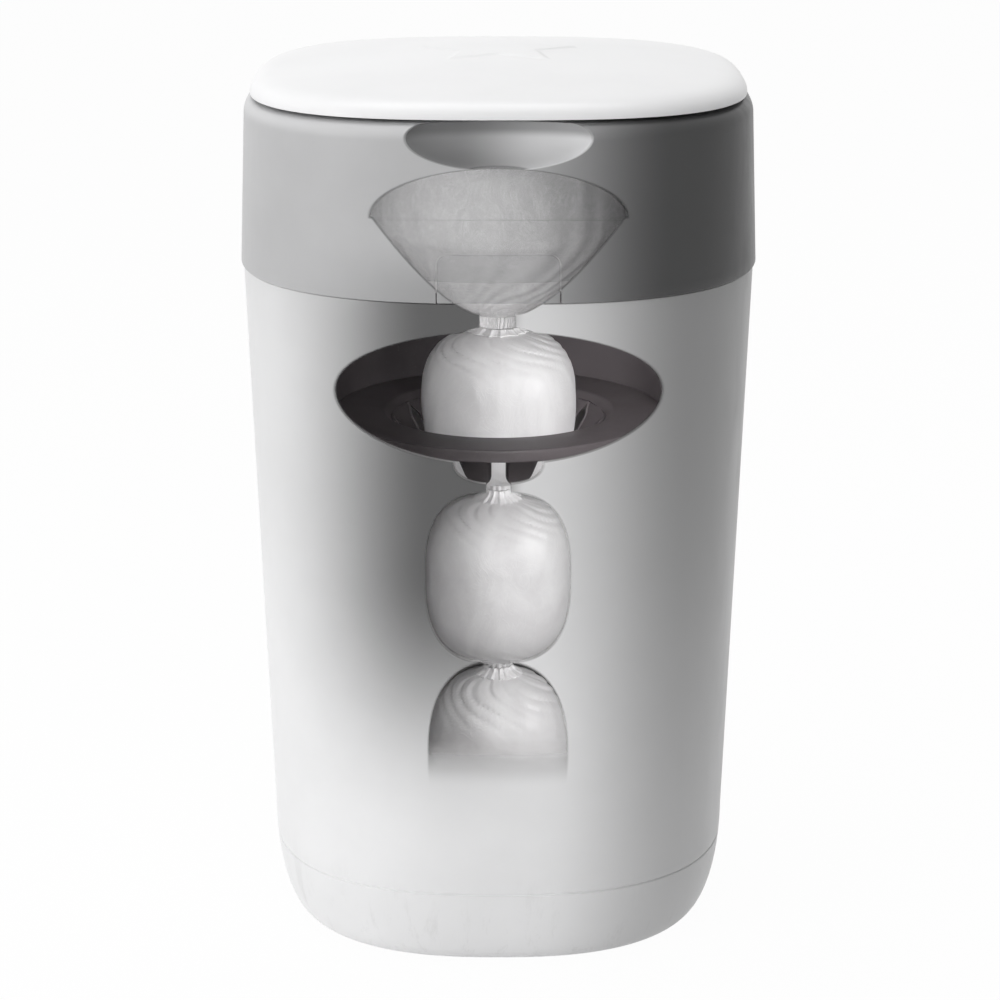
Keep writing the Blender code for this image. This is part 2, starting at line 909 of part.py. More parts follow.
def make_cap(material):
    outer = ring_well_radius - gap
    base = tray_top + gap
    lip_out = cap_inner_radius + cap_lip_width
    rows = [
        (outer, base + cap_plate),
        (outer, base),
        (lip_out, base),
        (lip_out, base - cap_lip),
        (cap_inner_radius, base - cap_lip),
        (cap_inner_radius, base + cap_plate),
    ]
    return loft("cassette_cap", rows, material)


def make_film_pack(material):
    inner = tray_inner_radius + tray_wall + gap
    outer = ring_well_radius - gap - tray_wall - film_space
    base = tray_bottom + tray_floor + gap
    top = tray_bottom + tray_inner_height - film_space
    rows = [(outer, top), (outer, base), (inner, base), (inner, top)]
    return loft("film_pack", rows, material)


def funnel_radius(height):
    """The film's outer face, from the twisted neck to the cassette's wall."""
    share = (height - funnel_neck_height) / (funnel_turn_height - funnel_neck_height)
    return upper_neck_radius + (funnel_rim() - upper_neck_radius) * share ** (1 / funnel_curve_power)


def funnel_rim():
    return tray_inner_radius - gap


def make_funnel(material):
    rim_top = tray_bottom + tray_inner_height + funnel_rim_rise
    cone_height = funnel_turn_height - funnel_neck_height
    heights = []
    for step in range(funnel_rings + 1):
        share = (step / funnel_rings) ** funnel_spacing_power
        heights.append(funnel_neck_height + cone_height * share)
    outside = [(funnel_radius(height), height) for height in heights]
    inside = [(half - film_wall, height + film_wall) for half, height in outside]
    rows = [
        (0, funnel_bottom),
        (upper_neck_radius, funnel_bottom),
        *outside,
        (funnel_rim(), rim_top),
        (funnel_rim() - film_wall, rim_top),
        *reversed(inside),
        (0, funnel_neck_height + film_wall),
    ]
    return loft("film_funnel", rows, material, film_steps)


def arm_back():
    """How far the back of the tab's arm lies from the middle."""
    return arm_front() - arm_wall


def arm_front():
    return hook_front() - hook_nose


def make_tab(material):
    """The tab's face is a piece of the collar's own wall, with an arm and a hook behind it."""
    base = collar_bottom - overrun
    top = collar_bottom + tab_height + overrun
    rows = [
        (collar_outer(top), top, collar_power(top)),
        (collar_outer(base), base, collar_power(base)),
        (collar_outer(base) - collar_wall, base, collar_power(base)),
        (collar_outer(top) - collar_wall, top, collar_power(top)),
    ]
    front = -(collar_half + overrun)
    tab = prism("release_tab", tab_outline(0), front, -(well_radius + well_wall), "Y", material)
    combine(tab, loft("tab_wall", rows, None, shell_steps), "INTERSECT")
    face_back = collar_half - collar_wall
    bridge_low = collar_bottom + gap + running_gap
    hook_low = tub_height - hook_drop
    nose_top = hook_low + hook_nose_height
    outline = [
        (-(face_back + collar_wall / 2), bridge_low),
        (-arm_front(), bridge_low),
        (-arm_front(), nose_top + hook_nose),
        (-hook_front(), nose_top),
        (-hook_front(), hook_low),
        (-arm_back(), hook_low),
        (-arm_back(), bridge_low + arm_rise),
        (-(face_back + collar_wall / 2), bridge_low + arm_rise),
    ]
    combine(tab, prism("tab_arm", outline, -arm_half_width, arm_half_width, "X"), "UNION")
    spigot = rod(
        "tab_spigot",
        (0, spring_axis_z()),
        spigot_radius,
        -(face_back + collar_wall / 2),
        -(face_back - spigot_length),
        "Y",
    )
    combine(tab, spigot, "UNION")
    return tab


def make_spring(material):
    """A closed-end coil along Y between the tab's face and the collar's well."""
    face = collar_outer(spring_axis_z() + spring_radius) - collar_wall
    start = -(front_of(face, tub_power, 0) - spring_wire - gap)
    end = -(well_radius + well_wall + spring_wire + gap)
    count = spring_turns * spring_turn_points
    curve = bpy.data.curves.new("tab_spring", "CURVE")
    curve.dimensions = "3D"
    curve.bevel_depth = spring_wire
    curve.bevel_resolution = 1
    curve.use_fill_caps = True
    curve.render_resolution_u = 0
    spline = curve.splines.new("POLY")
    spline.points.add(count)
    for index, point in enumerate(spline.points):
        turn = 2 * math.pi * index / spring_turn_points
        along = start + (end - start) * index / count
        point.co = (
            spring_radius * math.cos(turn),
            along,
            spring_axis_z() + spring_radius * math.sin(turn),
            1,
        )
    curve.materials.append(material)
    spring = bpy.data.objects.new("tab_spring", curve)
    bpy.context.scene.collection.objects.link(spring)
    pitch = (end - start) / spring_turns
    print(f"tab_spring least gap between turns {pitch - 2 * spring_wire:.4f} m")
    return spring


def lid_surface(inset, edge_steps):
    """Edge and crown of the lid, drawn in by a wall."""
    edge = arc(
        (lid_half - lid_edge_width, lid_bottom),
        (lid_edge_width - inset, lid_edge_height - inset),
        0,
        lid_edge_turn,
        edge_steps,
    )
    crown_base = edge[-1]
    rise = lid_top - inset - crown_base[1]
    crown = []
    for share in lid_crown_shares:
        crown.append((crown_base[0] * share, crown_base[1] + rise * (1 - share**2)))
    return [*edge, *crown, (0, lid_top - inset)]


def star_outline():
    points = []
    for index in range(10):
        reach = star_radius * (star_inner_share if index % 2 else 1)
        angle = math.pi / 2 + math.pi * index / 5
        points.append((reach * math.cos(angle), reach * math.sin(angle)))
    return points


def make_lid(material):
    outside = lid_surface(0, 4)
    inside = lid_surface(lid_wall, 2)
    rows = [*reversed(outside), *inside]
    lid = loft("lid_shell", rows, material, shell_steps, lid_power)
    relief_rows = [*reversed(lid_surface(-star_rise, 4)), (0, lid_bottom)]
    relief = loft("star_dome", relief_rows, None, shell_steps, lid_power)
    star_base = lid_top - lid_wall + gap
    star = prism("star_relief", star_outline(), star_base, lid_top + overrun, "Z")
    combine(star, relief, "INTERSECT")
    combine(lid, star, "UNION")
    foot_top = lid_bottom + lid_knuckle_foot
    outline = [
        (lid_half - lid_wall / 2, foot_top),
        *arc((lid_axis_y, lid_axis_z), lid_barrel_radius, 180, 420, 10),
        (lid_half - gap, lid_bottom + gap),
        (lid_half - gap, foot_top),
    ]
    knuckle = prism("lid_knuckle", outline, -lid_knuckle_half, lid_knuckle_half, "X")
    combine(lid, knuckle, "UNION")
    reach = lid_knuckle_half + overrun
    bore = rod("lid_bore", (lid_axis_y, lid_axis_z), lid_pin_radius + gap, -reach, reach, "X")
    combine(lid, bore, "DIFFERENCE")
    return lid


def make_lid_pin(material):
    reach = lid_knuckle_half + lid_pin_grip
    return rod("lid_hinge_pin", (lid_axis_y, lid_axis_z), lid_pin_radius, -reach, reach, "X", material)


def make_liner(material):
    base = lid_bottom + gap
    outer = lid_half - lid_wall - gap
    groove_in = seal_radius - seal_width / 2 - gap
    groove_out = seal_radius + seal_width / 2 + gap
    rows = [
        (0, base),
        (groove_in, base, round_power),
        (groove_in, base + seal_seat + gap, round_power),
        (groove_out, base + seal_seat + gap, round_power),
        (groove_out, base, round_power),
        (outer, base, lid_power),
        (outer * liner_top_share, base + liner_plate, lid_power),
        (0, base + liner_plate),
    ]
    return loft("lid_liner", rows, material, shell_steps)


def make_seal(material):
    base = collar_top + gap
    top = lid_bottom + gap + seal_seat
    inner = seal_radius - seal_width / 2
    outer = seal_radius + seal_width / 2
    rows = [(outer, top), (outer, base), (inner, base), (inner, top)]
    return loft("lid_seal", rows, material, shell_steps)


def make_cutter(plastic, steel):
    """A T-shaped slider in the ring's slot, and a blade held in its lower end."""
    half = cutter_stem_width / 2
    outer = ring_well_radius + cutter_slot_length - running_gap
    inner = outer - cutter_stem_length
    base = ring_top - cutter_slot_depth + running_gap
    head_base = ring_top + rib_radius + gap
    stem_high = head_base + cutter_head_height / 2
    slider = prism("cutter_slider", rectangle((inner, base), (outer, stem_high)), -half, half, "X", plastic)
    head_low = (-cutter_width / 2, outer + cutter_stem_offset - cutter_head_length)
    head_high = (cutter_width / 2, outer + cutter_stem_offset)
    head_top = head_base + cutter_head_height
    head = prism("cutter_head", rectangle(head_low, head_high), head_base, head_top, "Z")
    combine(slider, head, "UNION")
    grip = blade_grip + gap
    low = (inner - overrun, base + gap)
    high = (inner + grip, base + blade_height + running_gap + gap)
    slit_half = blade_thickness / 2 + gap
    slit = prism("blade_slit", rectangle(low, high), -slit_half, slit_half, "X")
    combine(slider, slit, "DIFFERENCE")
    blade_base = base + running_gap
    tip = inner - blade_reach
    outline = [
        (inner + blade_grip, blade_base),
        (inner + blade_grip, blade_base + blade_height - gap),
        (tip + blade_reach / 2, blade_base + blade_height - gap),
        (tip, blade_base + blade_height / 4),
        (tip, blade_base),
    ]
    blade = prism("cutter_blade", outline, -blade_thickness / 2, blade_thickness / 2, "X", steel)
    return slider, blade


def main():
    clear_scene()
    white = make_material("lid_white", (0.86, 0.86, 0.87), 0.35)
    tub_white = make_material("tub_white", (0.80, 0.80, 0.81), 0.38)
    grey = make_material("collar_grey", (0.36, 0.36, 0.37), 0.42)
    inner_grey = make_material("inner_grey", (0.55, 0.55, 0.56), 0.45)
    dark = make_material("gripper_dark", (0.065, 0.058, 0.060), 0.48)
    rubber = make_material("seal_rubber", (0.12, 0.12, 0.12), 0.70)
    film = make_material("film_white", (0.84, 0.83, 0.84), 0.30)
    steel = make_material("steel", (0.62, 0.62, 0.63), 0.28, 1.0)

    make_tub(tub_white)
    make_head_pin(steel)
    make_striker(inner_grey)
    nappy_1, _, _ = make_nappies(film)

    head_pivot = make_pivot("head_pivot", (0, head_axis_y, head_axis_z))
    lid_pivot = make_pivot("lid_pivot", (0, lid_axis_y, lid_axis_z), head_pivot)
    ring_pivot = make_pivot("ring_pivot", (0, 0, ring_bottom), head_pivot)
    tab_slide = make_pivot("tab_slide", (0, -collar_half, spring_axis_z()), head_pivot)
    cutter_slide = make_pivot("cutter_slide", (0, ring_well_radius, ring_top), ring_pivot)

    head_pieces = [
        make_collar(grey),
        make_deck(inner_grey),
        *make_screws(steel),
        make_basket(inner_grey),
        make_disc(dark),
        nappy_1,
        make_lid_pin(steel),
        make_spring(steel),
    ]
    lid_pieces = [make_lid(white), make_liner(inner_grey), make_seal(rubber)]
    ring_pieces = [
        make_ring(inner_grey),
        make_tray(white),
        make_cap(white),
        make_film_pack(film),
        make_funnel(film),
    ]
    for pivot, pieces in (
        (head_pivot, head_pieces),
        (lid_pivot, lid_pieces),
        (ring_pivot, ring_pieces),
        (tab_slide, [make_tab(grey)]),
        (cutter_slide, make_cutter(inner_grey, steel)),
    ):
        for piece in pieces:
            hang_from(piece, pivot)


main()
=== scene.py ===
"""Looks of the nappy bin: fine moulded shells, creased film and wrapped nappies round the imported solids.

The tub and the collar are ghosted at the front, as in the photograph: their plastic clears towards the
middle in the part's own space, so that the film funnel, the gripper and the wrapped nappies show inside.
"""
import math

import bmesh
import bpy
from mathutils import Matrix, Vector, noise


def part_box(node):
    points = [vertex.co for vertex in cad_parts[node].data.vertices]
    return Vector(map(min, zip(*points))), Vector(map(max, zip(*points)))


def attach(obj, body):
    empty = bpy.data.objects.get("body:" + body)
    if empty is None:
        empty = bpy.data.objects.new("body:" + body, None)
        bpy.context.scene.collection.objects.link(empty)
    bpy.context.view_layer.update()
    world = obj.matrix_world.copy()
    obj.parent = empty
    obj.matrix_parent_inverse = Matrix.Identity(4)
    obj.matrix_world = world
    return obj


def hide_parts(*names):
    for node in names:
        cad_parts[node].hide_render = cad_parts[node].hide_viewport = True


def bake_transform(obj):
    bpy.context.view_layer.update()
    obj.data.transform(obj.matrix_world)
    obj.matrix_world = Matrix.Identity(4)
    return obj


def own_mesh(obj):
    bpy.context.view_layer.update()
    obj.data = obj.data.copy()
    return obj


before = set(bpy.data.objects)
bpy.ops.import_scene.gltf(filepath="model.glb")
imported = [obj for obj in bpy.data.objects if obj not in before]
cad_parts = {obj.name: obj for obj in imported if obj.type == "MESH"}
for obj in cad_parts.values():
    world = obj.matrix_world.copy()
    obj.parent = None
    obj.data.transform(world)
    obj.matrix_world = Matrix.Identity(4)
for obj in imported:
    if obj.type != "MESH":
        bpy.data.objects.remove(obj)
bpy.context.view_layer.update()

# Clearances and facet counts
gap = 0.0003
running_gap = 0.0008
overrun = 0.0020
shell_steps = 216
turned_steps = 180
cut_steps = 96

# Plan shape: a rounded square, |x|^power + |y|^power = half^power
tub_power = 2.48
lid_power = 2.85
round_power = 2.0

# Tub
tub_height = 0.3248
tub_top_half = 0.1213
tub_low_half = 0.1114
tub_wall = 0.0025
tub_floor = 0.0030
foot_rise = 0.0500
foot_inset = 0.0150
crease_height = 0.0370
crease_depth = 0.0007
crease_width = 0.0016
rim_round = 0.0007

# Collar
collar_half = 0.1225
collar_height = 0.0789
collar_draft = 0.0035
collar_wall = 0.0030
shoulder_width = 0.0060
shoulder_height = 0.0075
well_radius = 0.1000
well_wall = 0.0020
collar_roof = 0.0025
scoop_half_width = 0.0410
scoop_drop = 0.0057
scoop_height = 0.0141
scoop_depth = 0.0130
scoop_wall = 0.0018

# Hinges
head_barrel_radius = 0.0040
head_axis_out = 0.0037
head_axis_rise = 0.0004
head_knuckle_half = 0.0190
tub_knuckle_length = 0.0140
head_lug_rise = 0.0075
tub_lug_drop = 0.0110
lid_barrel_radius = 0.0032
lid_pin_radius = 0.0014
lid_axis_in = 0.0072
lid_axis_drop = 0.0045
lid_knuckle_half = 0.0220
lid_pin_grip = 0.0080
lid_knuckle_foot = 0.0040
hinge_block_wall = 0.0030

# Lid
lid_gap = 0.0018
lid_half = 0.1163
lid_wall = 0.0022
lid_edge_width = 0.0130
lid_edge_height = 0.0085
lid_crown = 0.0076
lid_edge_turn = 72
liner_plate = 0.0030
liner_top_share = 0.980
seal_radius = 0.1022
seal_width = 0.0024
seal_seat = 0.0013
star_radius = 0.0404
star_inner_share = 0.48
star_rise = 0.0006
star_slope = 0.0012

# Deck, basket and gripper disc
deck_rise = 0.0049
basket_radius = 0.0822
basket_wall = 0.0022
basket_rim_radius = 0.0905
basket_rim = 0.0022
basket_lip_width = 0.0027
basket_lip = 0.0020
disc_radius = 0.0797
disc_top = 0.2468
disc_plate = 0.0022
disc_skirt = 0.0060
disc_skirt_wall = 0.0020
petal_root_radius = 0.0540
petal_tip_radius = 0.0340
petal_drop = 0.0298
petal_wall = 0.0018
petal_count = 12
slot_width = 0.0068
slot_top_drop = 0.0050

# Twist ring and film cassette
ring_radius = 0.0990
ring_height = 0.0700
ring_wall = 0.0025
ring_well_radius = 0.0872
ring_floor_height = 0.0077
ring_floor = 0.0020
ring_floor_hole = 0.0655
rib_count = 12
rib_radius = 0.0013
rib_length = 0.0070
tray_floor = 0.0020
tray_wall = 0.0018
tray_inner_radius = 0.0620
tray_inner_height = 0.0340
tray_outer_height = 0.0390
cap_plate = 0.0020
cap_inner_radius = 0.0655
cap_lip = 0.0028
cap_lip_width = 0.0015
film_space = 0.0008
cutter_stem_width = 0.0044
cutter_slot_depth = 0.0115
cutter_slot_length = 0.0060

# Film and wrapped nappies
funnel_rim_rise = 0.0020
funnel_turn_rise = 0.0007
funnel_neck_height = 0.2940
funnel_bottom = 0.2885
neck_radius = 0.0069
upper_neck_radius = 0.0100
funnel_curve_power = 1.45
nappy_1_radius = 0.0378
nappy_1_ends = (0.2068, 0.2882)
nappy_1_body = (0.2108, 0.2860)
nappy_2_radius = 0.0363
nappy_2_ends = (0.1151, 0.2065)
nappy_2_body = (0.1191, 0.2020)
nappy_3_radius = 0.0357
nappy_3_ends = (0.0033, 0.1148)
nappy_3_body = (0.0033, 0.1111)

# Release tab
tab_half_width = 0.0273
tab_height = 0.0216
tab_corner = 0.0050
tab_gap = 0.0005
arm_half_width = 0.0100
arm_wall = 0.0030
arm_rise = 0.0050
hook_drop = 0.0160
hook_nose = 0.0008
hook_nose_height = 0.0025
hook_front = 0.1157
spring_height = 0.0150
spring_radius = 0.0036
spring_wire = 0.0005
spring_turns = 5
spigot_radius = 0.0022
spigot_length = 0.0030

# Rounded edges and small forms of the pieces
knuckle_edge = 0.0005
fine_edge = 0.0004
spigot_edge = 0.0003
ring_edge = 0.0008
cassette_edge = 0.0006
disc_edge = 0.0011
liner_grooves = (0.0200, 0.0460, 0.0720)
liner_groove = ((0.0, 0.0), (0.0008, 0.0006), (0.0022, 0.0006), (0.0030, 0.0))
cap_grooves = (0.0700, 0.0820)
cap_groove = ((0.0, 0.0), (0.0006, -0.0005), (0.0018, -0.0005), (0.0024, 0.0))
petal_root_rise = 0.0020
layer_fold = 0.0007
layer_tuck = 0.0001
layer_drop = 0.0006
layer_swing = 0.0004
sack_flare = 0.0060
sack_flare_fade = 0.0016
sack_dent = 0.0016
sack_crumple = 0.0005
cone_pleat = 0.0005
cone_deeper_pleat = 0.0007
cone_rim_pleat = 0.0004
cone_neck_pleat = 0.0018
cone_wave = 0.0008
cone_swell = 0.0016
collar_rows = 14
disc_steps = 288

# Windows seen from the front: centre (x, z), half sizes, power of the outline, softness of the edge
gripper_oval = ((0.0, 0.2815), (0.0742, 0.0311), 2.0, 0.016)
claw_oval = ((0.0, 0.2525), (0.0205, 0.0112), 2.5, 0.050)
sack_1_top_oval = ((-0.0004, 0.3085), (0.0185, 0.0064), 2.2, 0.050)
sack_2_oval = ((-0.0003, 0.1965), (0.0332, 0.0414), 2.75, 0.022)
sack_3_oval = ((-0.0003, 0.1080), (0.0325, 0.0482), 2.45, 0.022)
neck_oval = ((-0.0004, 0.3165), (0.0081, 0.0080), 4.0, 0.060)
chain_oval = ((0.0, 0.2000), (0.0058, 0.0500), 8.0, 0.080)
mouth_oval = ((0.0, 0.3625), (0.0572, 0.0228), 2.0, 0.018)
cone_base = 0.3202
cone_rise = 0.0430
cone_least_half = 0.0092
cone_spread = 0.0474
cone_power = 0.69
window_edge = 0.0004
front_fade = 0.0200
inner_edge = 0.0020
arm_window_half = 0.0300
arm_window_top = 0.3600
deck_window_half = 0.0500
deck_window_top = 0.3400
ring_window_half = 0.0640
ring_window_top = 0.3900
basket_window_half = 0.0810
well_slope = 0.770
well_scale = 1.0925

# Spans over which a window, a painted light or shade, or the wear on the foot changes
sack_3_fade = (0.0930, 0.1190)
tub_cone = (0.3203, 0.3260)
collar_cone = (0.3100, 0.3625)
mouth_span = (0.3621, 0.4000)
well_fade = (0.1030, 0.1050)
shade_turn = (0.1000, 0.1300)
shade_upper_right = (0.0, 0.0120)
shade_lower_right = (-0.0300, 0.0450)
shade_left = (-0.1120, -0.0300)
shade_rise = (0.0600, 0.2000)
right_shade_depth = (0.0, 0.1000)
collar_right_shade = (-0.0100, 0.0780)
collar_rim_highlight = (0.3960, 0.4010)
collar_shade_left = (-0.1000, -0.0250)
collar_shade_right = (0.0, 0.0100)
collar_shade_rise = (0.3270, 0.3560)
scoop_light_turn = (-0.0200, 0.0220)
scoop_lid_shade = (0.3965, 0.4010)
tub_top_shade = (0.1000, 0.2500)
tub_right_shade = (0.0180, 0.0880)
tub_right_shade_rise = (-0.0200, 0.3000)
foot_wear = (0.0020, 0.0600)
rubber_light_turn = (-0.0300, 0.0750)

# Relief and glow of the materials
shell_grain = 0.00004
smooth_grain = 0.00001
lid_grain = 0.000008
rubber_grain = 0.00005
steel_grain = 0.00003
film_cloud = 0.0010
film_crease = 0.00014
film_glow = 0.006
white_plastic = (0.86, 0.86, 0.865, 1.0)
collar_grey = (0.50, 0.50, 0.505, 1.0)
steel_nodes = ("head_hinge_pin", "lid_hinge_pin", "deck_screw_1", "deck_screw_2", "deck_screw_3",
               "deck_screw_4", "cutter_blade")

# Camera, floor and lamps: name, place, size, power, height of the target, pieces that it is kept to
camera_place = (0.0, -1.4198, 0.6073)
camera_target = (0.0, 0.0, 0.2002)
floor_half = 6.0
sacks = ("sack_1", "sack_2", "sack_3")
lamps = (
    ("key", (-1.65, -1.20, 0.65), (0.9, 1.1), 14.6, 0.20),
    ("soft_front", (0.35, -2.2, 0.90), (1.2, 0.8), 6.5, 0.20),
    ("soft_top", (-0.10, 0.10, 2.0), (1.2, 1.2), 17.2, 0.40),
    ("sacks_right", (0.84, -0.46, 0.42), (0.5, 0.5), 5.8, 0.20, sacks),
    ("sacks_left", (-0.20, -0.86, 0.45), (0.5, 0.5), 2.3, 0.20, sacks),
    ("inner_gripper", (0.12, -0.85, 0.55), (0.35, 0.35), 5.5, 0.26, ("gripper_plate", "basket_shell")),
    ("inner_film", (-0.42, -0.80, 0.30), (2.0, 0.4), 7.6, 0.34, ("film_cone",)),
)

# Heights and places that several pieces share
collar_bottom = tub_height + gap
collar_top = collar_bottom + collar_height
deck_top = collar_bottom + deck_rise
well_bottom = deck_top + gap
lid_bottom = collar_top + lid_gap
lid_top = lid_bottom + lid_edge_height + lid_crown
ring_bottom = deck_top + gap
ring_top = ring_bottom + ring_height
ring_seat = ring_bottom + ring_floor_height + ring_floor
tray_bottom = ring_seat + gap
tray_top = tray_bottom + tray_outer_height
funnel_turn_height = tray_bottom + funnel_turn_rise
disc_lip_top = disc_top - disc_skirt - gap
head_axis_y = collar_half + head_axis_out
head_axis_z = collar_bottom + head_axis_rise
lid_axis_y = collar_half - lid_axis_in
lid_axis_z = collar_top - lid_axis_drop


# Node helpers

def reckoned(operation, swapped=False):
    """A method that joins two values with a math node."""
    def method(self, other):
        values = (other, self) if swapped else (self, other)
        return self.look.math(operation, *values)
    return method


class Value:
    """A node's output, which is reckoned with as a number is."""

    def __init__(self, look, socket):
        self.look = look
        self.socket = socket

    def __abs__(self):
        return self.look.math("ABSOLUTE", self)

    __add__ = reckoned("ADD")
    __radd__ = reckoned("ADD", True)
    __sub__ = reckoned("SUBTRACT")
    __rsub__ = reckoned("SUBTRACT", True)
    __mul__ = reckoned("MULTIPLY")
    __truediv__ = reckoned("DIVIDE")
    __pow__ = reckoned("POWER")


class Look:
    """The nodes of one material or world, and short calls that add to them."""

    def __init__(self, owner, place="Object"):
        owner.use_nodes = True
        self.owner = owner
        self.nodes = owner.node_tree.nodes
        self.links = owner.node_tree.links
        self.shader = self.nodes.get("Principled BSDF")
        self.place = self.add("ShaderNodeTexCoord").outputs[place]
        split = self.add("ShaderNodeSeparateXYZ", self.place)
        self.x, self.y, self.z = [Value(self, socket) for socket in split.outputs]

    def feed(self, socket, value):
        if isinstance(value, (int, float, tuple)):
            socket.default_value = value
        elif isinstance(value, Value):
            self.links.new(value.socket, socket)
        else:
            self.links.new(value, socket)

    def add(self, kind, *values, **named):
        """A new node, fed in the order of its inputs or by their names."""
        node = self.nodes.new(kind)
        for socket, value in zip(node.inputs, values):
            self.feed(socket, value)
        for name, value in named.items():
            self.feed(node.inputs[name.replace("_", " ")], value)
        return node

    def math(self, operation, *values):
        node = self.add("ShaderNodeMath", *values)
        node.operation = operation
        return Value(self, node.outputs[0])

    def step(self, value, low, high, start=0.0, end=1.0):
        """A smooth change from start to end while the value goes from low to high."""
        node = self.add("ShaderNodeMapRange", Value=value, From_Min=low, From_Max=high, To_Min=start,
                        To_Max=end)
        node.interpolation_type = "SMOOTHSTEP"
        return Value(self, node.outputs[0])

    def fall(self, value, low, high):
        """A smooth fall from 1 to 0."""
        return self.step(value, low, high, 1.0, 0.0)

    def noise(self, scale, detail, roughness, stretch=(1.0, 1.0, 1.0), distortion=0.0):
        mapping = self.add("ShaderNodeMapping", Vector=self.place, Scale=stretch)
        node = self.add("ShaderNodeTexNoise", Vector=mapping.outputs[0], Scale=scale, Detail=detail,
                        Roughness=roughness, Distortion=distortion)
        return Value(self, node.outputs["Fac"])

    def mix(self, factor, first, second):
        """A colour between two others."""
        node = self.nodes.new("ShaderNodeMix")
        node.data_type = "RGBA"
        for name, value in (("Factor", factor), ("A", first), ("B", second)):
            self.feed(node.inputs[name], value)
        return node.outputs["Result"]

    def bump(self, height, distance, strength, below=None):
        node = self.add("ShaderNodeBump", Distance=distance, Strength=strength, Height=height)
        if below is not None:
            self.feed(node.inputs["Normal"], below)
        return node.outputs[0]

    def set(self, **values):
        for name, value in values.items():
            self.feed(self.shader.inputs[name.replace("_", " ")], value)

    def most(self, values):
        total = values[0]
        for value in values[1:]:
            total = self.math("MAXIMUM", total, value)
        return total

    def oval(self, centre, halves, power, softness):
        """1 inside a rounded shape seen from the front, 0 outside it, with a soft edge."""
        across = (abs(self.x - centre[0]) / halves[0]) ** power
        upward = (abs(self.z - centre[1]) / halves[1]) ** power
        return self.fall((across + upward) ** (1 / power), 1 - softness, 1 + softness)

    def front(self, shape):
        """Keeps a shape to the front half."""
        return shape * self.fall(self.y, -front_fade, 0.0)

    def clear(self, window, share=1.0):
        """Makes the plastic clear by a share of the window."""
        self.set(Alpha=1.0 - window * share)

    def seen_directly(self):
        """1 for the camera and for what is reflected or seen through, 0 for light that falls on things."""
        rays = self.add("ShaderNodeLightPath").outputs
        return self.most([rays["Is Camera Ray"], rays["Is Glossy Ray"], rays["Is Transmission Ray"]])


def grey(level, warm=0.0):
    return (level * (1 + warm), level, level * (1 - warm), 1.0)


def shaded(colour, share):
    """The colour times a share."""
    return tuple(min(1.0, channel * share) for channel in colour[:3]) + (1.0,)


# The ghosted windows, and the painted shade beside the sacks, laid out on the front of the shells

def cone_outline(look):
    """The film cone's outline on the front, where it opens upwards from the neck in a curve."""
    rise = look.math("MAXIMUM", (look.z - cone_base) / cone_rise, 0.0001)
    half = cone_least_half + rise ** cone_power * cone_spread
    return look.fall(abs(look.x) / half, 0.985, 1.015)


def between(look, low, high):
    return (look.step(look.z, low - window_edge, low + window_edge)
            * look.fall(look.z, high - window_edge, high + window_edge))


def left_shade(look):
    """The soft dark painted shade that spreads from the chain of sacks to the left."""
    upper = look.step(look.z, *shade_turn)
    right = look.fall(look.x, *shade_upper_right) * upper
    right += look.fall(look.x, *shade_lower_right) * (1.0 - upper)
    return look.step(look.x, *shade_left) * right * look.step(look.z, *shade_rise) * 0.88


def tub_window(look):
    """The gripper's ellipse, the claws, the chain of sacks, and the lower end of the film cone."""
    ovals = (gripper_oval, claw_oval, sack_2_oval, neck_oval, chain_oval, sack_1_top_oval)
    shapes = [look.oval(*oval) for oval in ovals]
    shapes.append(look.oval(*sack_3_oval) * look.step(look.z, *sack_3_fade))
    shapes.append(cone_outline(look) * between(look, *tub_cone))
    return look.front(look.most(shapes))


def collar_window(look):
    """The film's mouth on top of its cone. The well's wall is farther back, its window wider and lower."""
    radius = look.math("SQRT", look.x * look.x + look.y * look.y)
    scale = look.step(radius, *well_fade, look.y * well_slope + well_scale, 1.0)
    look.x = look.x / scale
    look.z = (look.z - camera_place[2]) / scale + camera_place[2]
    cone = cone_outline(look) * between(look, *collar_cone)
    mouth = look.oval(*mouth_oval) * between(look, *mouth_span)
    return look.front(look.most([cone, mouth]))


def inner_window(half_width, top):
    """A plain soft-edged window for the pieces between the collar's front and the funnel."""
    def window(look):
        side = look.fall(abs(look.x), half_width - inner_edge, half_width)
        return look.front(side * look.fall(look.z, top - inner_edge / 2, top))
    return window


# Materials

def moulded(name, colour, roughness, grain=shell_grain, spread=0.05, window=None, share=1.0, painted_shade_and_wear=None,
            gloss=0.5, wear=0.12):
    """Moulded plastic: fine sparked grain, slow colour drift, and a little scuffing in the sheen; a function
    given for painted light and shade, and wear marks, adds those.
    """
    look = Look(bpy.data.materials.new(name))
    drift = look.noise(14.0, 4.0, 0.55)
    speck = look.noise(420.0, 2.0, 0.5)
    scuff = look.noise(60.0, 6.0, 0.7, (1.0, 1.0, 0.25), 0.6)
    low = shaded(colour, 1 - spread)
    tone = look.mix(look.step(drift, 0.30, 0.70), low, shaded(colour, 1 + spread * 0.6))
    tone = look.mix(look.step(speck, 0.55, 0.75, 0.0, 0.10), tone, low)
    # Painted light and shade, and wear marks, from the function given.
    if painted_shade_and_wear:
        tone = painted_shade_and_wear(look, tone, colour)
    sheen = look.step(scuff, 0.35, 0.75, roughness * (1 - wear), roughness * (1 + wear * 1.5))
    fine = look.bump(look.noise(2600.0, 2.0, 0.6), grain, 0.5)
    wavy = look.bump(look.noise(22.0, 2.0, 0.4), grain * 6, 0.25, fine)
    look.set(Base_Color=tone, Roughness=sheen, Normal=wavy, Specular_IOR_Level=gloss)
    if window:
        look.clear(window(look), share)
    return look.owner


def right_shade_share(look, span):
    """Share of the painted shade on the right-hand side: 1 on the right, less of it at the back."""
    return look.step(look.x, *span) * look.step(look.y, *right_shade_depth, 1.0, 0.35)


